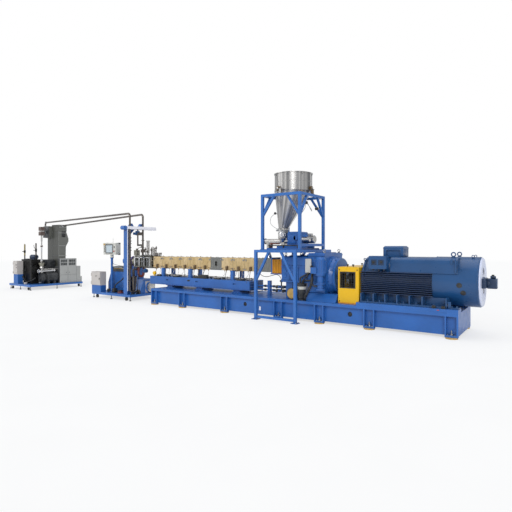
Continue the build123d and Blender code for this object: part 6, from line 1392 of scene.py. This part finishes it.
class DRESS_OT_tank_fittings(bpy.types.Operator):
    """Manhole bolts, stacks, strainer, bright pipe and fittings round the water tank"""
    bl_idname = "dress.tank_fittings"
    bl_label = "Tank fittings"

    def execute(self, context):
        lock = Piece("dryer_door_lock", "black_plastic", "dryer_door")
        lock.box((-11.7, -0.8095, 0.93), (-11.64, -0.8, 0.955), edge=0.002)
        lock.rod((-11.64, -0.8, 0.84), (-11.64, -0.814, 0.84), 0.014, sides=14)
        lock.boxes(grid((-11.925, -11.695), -0.806, 0.645), (0.04, 0.006, 0.01), edge=0.001)
        bolts = Piece("tank_bolts_and_ribs", "dark_iron")
        bolts.bolt_circle((-11.035, -0.33, 0.735), RIGHT, 0.128, 0.018, 12, 0.26)
        bolts.bolts(grid((-11.8, -11.62, -11.44, -11.26, -11.12), (-0.512, -0.15), TANK_TOP_Z), UP,
                    0.018)
        bolts.boxes(grid((-11.86, -11.5, -11.12), -0.5245, 0.33), (0.012, 0.005, 0.78), edge=0.001)

        brass = Piece("tank_brass_stack", "stack_brass")
        brass.rod((-11.8, -0.41, 1.3), (-11.8, -0.41, 1.742), 0.0255, sides=24)
        brass.rod((-11.8, -0.41, 1.742), (-11.8, -0.41, 1.764), 0.014, edge=0.002)
        brass.rod((-11.775, -0.455, 1.46), (-11.775, -0.5, 1.46), 0.016, sides=14)
        steel = Piece("tank_steel_stack", "pipe_brown")
        steel.rod((-11.12, -0.31, 1.3), (-11.12, -0.31, 1.7895), 0.0255, sides=24)
        steel.tube([(-11.12, -0.31, 1.56), (-11.14, -0.34, 1.58), (-11.16, -0.37, 1.66),
                    (-11.16, -0.37, 1.72)], 0.009)
        cone = Piece("strainer_cone", "die_steel")
        tip, neck, rim, low, high = grid(RISER_X, RISER_Y, (0.81, 0.985, 1.022, 1.06, 1.076))
        cone.rod(tip, neck, 0.042, 0.106, sides=32)
        cone.rod(neck, rim, 0.108, sides=32, edge=0.003)
        cone.rod(low, high, 0.052, sides=24, edge=0.002)
        cone.bolt_circle(rim, UP, 0.094, 0.012, 8)

        bright = Piece("tank_bright_pipe", "bright_steel")
        z = BRIGHT_PIPE_Z
        bright.ring((-10.85, -0.35, z), (0, 1, 0), 0.066, 0.014, sides=28)
        bright.rod((-10.85, -0.34, z), (-10.85, -0.28, z), 0.04, sides=20)
        bright.tube([(-10.82, -0.335, z), (-10.77, -0.325, z), (-10.74, -0.28, z + 0.002),
                     (-10.73, -0.08, z + 0.008), (-10.73, 0.2, z + 0.015)], 0.024, sides=12)
        bright.rod((-10.73, 0.19, z + 0.015), (-10.73, 0.23, z + 0.015), 0.038, sides=20)
        bright.rod((-10.73, 0.21, z + 0.015), (-10.9, 0.21, z + 0.015), 0.024)
        cup = Piece("beige_drain_cup", "cabinet_gray")
        cup.rod((-11.27, -0.63, DRYER_DECK_Z), (-11.27, -0.63, 0.272), 0.06, sides=28, edge=0.008)
        dark = Piece("dark_cases_and_hoses", "black_rubber")
        dark.box((-11.585, -0.14, 0.24), (-11.515, 0.4, 1.05), edge=0.008)
        dark.box((-11.05, -0.18, 0.71), (-10.93, 0.08, 0.9), edge=0.012)
        dark.bolt_circle((-11.28, 0.065, 0.715), FRONT, 0.13, 0.016, 10)
        dark.tube([(-11.6, -0.6, 0.5), (-11.5, -0.56, 0.36), (-11.3, -0.56, 0.3), (-11.1, -0.5, 0.34),
                   (-10.98, -0.4, 0.44)], 0.02, sides=10)
        dark.tube([(-11.6, -0.58, 0.72), (-11.54, -0.56, 0.7), (-11.49, -0.545, 0.74),
                   (-11.44, -0.53, 0.8)], 0.012)
        cap = Piece("heater_motor_cap", "motor_inset")
        cap.rod((-11.548, HEATER_Y, HEATER_Z), (-11.47, HEATER_Y, HEATER_Z), 0.0905, sides=32,
                edge=0.004)
        for place in grid([0.03 * k - 11.44 for k in range(9)], HEATER_Y, HEATER_Z):
            cap.ring(place, RIGHT, 0.088, 0.004, sides=32, grain=4)
        return close_pieces()


class DRESS_OT_tower_fittings(bpy.types.Operator):
    """Bands, louvres, valves and flanges of the dryer tower and housing, and pump ribs"""
    bl_idname = "dress.tower_fittings"
    bl_label = "Tower fittings"

    def execute(self, context):
        side, front = TOWER_SIDE_X, TOWER_FRONT_Y
        bands = Piece("tower_bands", "dryer_gray")
        band_z = [top - 0.016 for top in (2.535, 2.45, 2.22, 1.7, 1.3)]
        bands.boxes(grid(side - 0.0015, 0.478, band_z), (0.0075, 0.324, 0.016), edge=0.001)
        bands.boxes(grid(-11.392, front, band_z), (0.514, 0.0065, 0.016), edge=0.001)
        bands.boxes(grid((-11.385, -10.892), front, 0.87), (0.012, 0.0055, 1.66))
        # The black plate in the tower's opening is painted shade behind its slats.
        holes = Piece("tower_dark_opening", "black_plastic")
        holes.box((side, 0.6, 2.06), (side + 0.005, 0.76, 2.33))
        slat_z = [2.075 + 0.038 * k for k in range(6)]
        holes.boxes(grid(side + 0.005, 0.605, slat_z), (0.003, 0.15, 0.01))
        holes.boxes(grid(side, 0.53, (1.02, 1.06, 1.1)), (0.006, 0.23, 0.012))
        hood = Piece("hood_dark_plates", "dark_iron")
        hub = Vector(HOOD_HUB)
        hood.box((-11.846, 0.345, 2.02), (-11.838, 0.775, 2.48), edge=0.001)
        hood.box((-11.838, 0.3405, 2.02), (-11.4, 0.3495, 2.48), edge=0.001)
        hood.box((-11.82, 0.3315, 2.1), (-11.64, 0.3415, 2.42), edge=0.002)
        hood.rod(hub, hub - 0.012 * FRONT, 0.112, sides=36)
        hood.rod(hub - 0.0155 * FRONT, hub + 0.0495 * FRONT, 0.055, sides=24, edge=0.004)
        hood.bolt_circle(hub, FRONT, 0.09, 0.014, 6)

        x = HOUSING_SIDE_X
        vents = Piece("housing_louvres", "screen_frame")
        louvre_y = [y + 0.04 * k for y in (0.46, 0.8) for k in range(7)]
        vents.boxes(grid(x - 0.002, louvre_y, (0.9, 1.03)), (0.0055, 0.024, 0.095))
        seams = Piece("housing_seams", "screen_frame")
        seams.boxes(grid(x - 0.002, (0.76, 1.13), 0.225), (0.0035, 0.006, 0.625))
        seams.box((x - 0.002, 0.44, 0.52), (x + 0.0015, 1.13, 0.526))
        seams.rods(grid(x, (0.7, 0.82), 0.62), 0.012 * RIGHT, 0.012, sides=12)
        seams.boxes(grid((-11.4, -11.2, -11.0, -10.8), 0.4165, 0.23), (0.006, 0.004, 0.62))
        seams.bolts(grid(x, (0.48, 0.66, 0.85, 1.05), 0.25), RIGHT, 0.012, washer=False)

        x, y = RISER_X, RISER_Y
        blocks = Piece("riser_valve_blocks", "valve_brown")
        blocks.boxes(grid(x - 0.088, y - 0.078, (2.085, 2.27)), (0.176, 0.156, 0.145), edge=0.006)
        blocks.box((x - 0.15, y - 0.03, 2.11), (x - 0.088, y + 0.03, 2.2), edge=0.006)
        blocks.box((x - 0.14, y - 0.03, 2.3), (x - 0.088, y + 0.03, 2.39), edge=0.006)
        blocks.rod((x, y, 1.64), (x, y, 1.68), 0.046, sides=24, edge=0.003)
        blocks.rod((x - 0.06, y, 1.7), (x + 0.06, y, 1.7), 0.012, sides=10)
        sleeves = Piece("riser_bright_sleeves", "bright_steel")
        sleeves.rod((x, y, 1.87), (x, y, 2.3), 0.0285, sides=24)
        sleeves.rod((x, y, 1.45), (x, y, 1.62), 0.0255, sides=24)
        sleeves.rod((x, y, 1.1), (x, y, 1.18), 0.034, sides=20, edge=0.003)

        rings = Piece("pipe_joint_rings", "bright_steel")
        rings.rod((-11.76, 0.4, 2.492), (-11.76, 0.4, 2.51), 0.048, sides=24, edge=0.002)
        for start, end in OVERHEAD_PIPES:
            start, end = Vector(start), Vector(end)
            way = (end - start).normalized()
            rings.rod(start + way * 0.04, start + way * 0.06, 0.046, sides=24, edge=0.002)
            for joint in (start.lerp(end, share) for share in (0.17, 0.42, 0.67, 0.92)):
                rings.rods([joint - way * 0.014, joint + way * 0.001], way * 0.013, 0.0298, sides=24)
        pump = Piece("circulation_pump_ribs", "dark_iron")
        for place in grid(PUMP_X, [0.05 * k - 0.235 for k in range(9)], PUMP_Z):
            pump.ring(place, (0, 1, 0), 0.186, 0.0055, sides=40, grain=4)
        pump.box((-10.95, 0.02, 0.64), (-10.8, 0.16, 0.705), edge=0.006)
        deck = Piece("dryer_deck_bolts", "zinc")
        deck.box((-12.25, -0.745, 0.136), (-12.19, -0.7, 0.2045))
        for x, y in ((-12.1, -0.45), (-11.1, -0.62), (-10.8, -0.62), (-12.1, 0.6), (-12.1, 1.1)):
            deck.bolt((x, y, DRYER_DECK_Z), UP, 0.022)
        return close_pieces()


class DRESS_PT_panel(bpy.types.Panel):
    """Extruder panel in the sidebar"""
    bl_label = "Extruder line"
    bl_idname = "DRESS_PT_panel"
    bl_space_type = "VIEW_3D"
    bl_region_type = "UI"
    bl_category = "Extruder"

    def draw(self, context):
        for operator in OPERATORS:
            self.layout.operator(operator.bl_idname)
        for group in (colours(), sizes()):
            for key in group.bl_rna.properties.keys():
                if key not in ("rna_type", "name"):
                    self.layout.prop(group, key)


GROUPS = (ExtruderColours, ExtruderSizes)
OPERATORS = (
    DRESS_OT_finishes, DRESS_OT_barrel_joints, DRESS_OT_cover_trim, DRESS_OT_barrel_wiring,
    DRESS_OT_girder_fittings, DRESS_OT_floor_bolts, DRESS_OT_gearbox_fittings,
    DRESS_OT_cooling_fittings, DRESS_OT_motor_fittings, DRESS_OT_guard_fittings,
    DRESS_OT_hopper_fittings, DRESS_OT_feeder_fittings, DRESS_OT_panel_fittings,
    DRESS_OT_skid_fittings, DRESS_OT_die_fittings, DRESS_OT_tank_fittings,
    DRESS_OT_tower_fittings, DRESS_OT_stage,
)
CLASSES = GROUPS + OPERATORS + (DRESS_PT_panel,)


def register():
    """Register the classes and the scene's settings."""
    for kind in CLASSES:
        bpy.utils.register_class(kind)
    bpy.types.Scene.extruder_colours = PointerProperty(type=ExtruderColours)
    bpy.types.Scene.extruder_sizes = PointerProperty(type=ExtruderSizes)


def unregister():
    """Remove the classes and the scene's settings."""
    del bpy.types.Scene.extruder_sizes
    del bpy.types.Scene.extruder_colours
    for kind in reversed(CLASSES):
        bpy.utils.unregister_class(kind)


def main():
    """Dress the frame."""
    register()
    for operator in OPERATORS:
        getattr(bpy.ops.dress, operator.bl_idname.split(".")[1])()


if __name__ == "__main__":
    main()
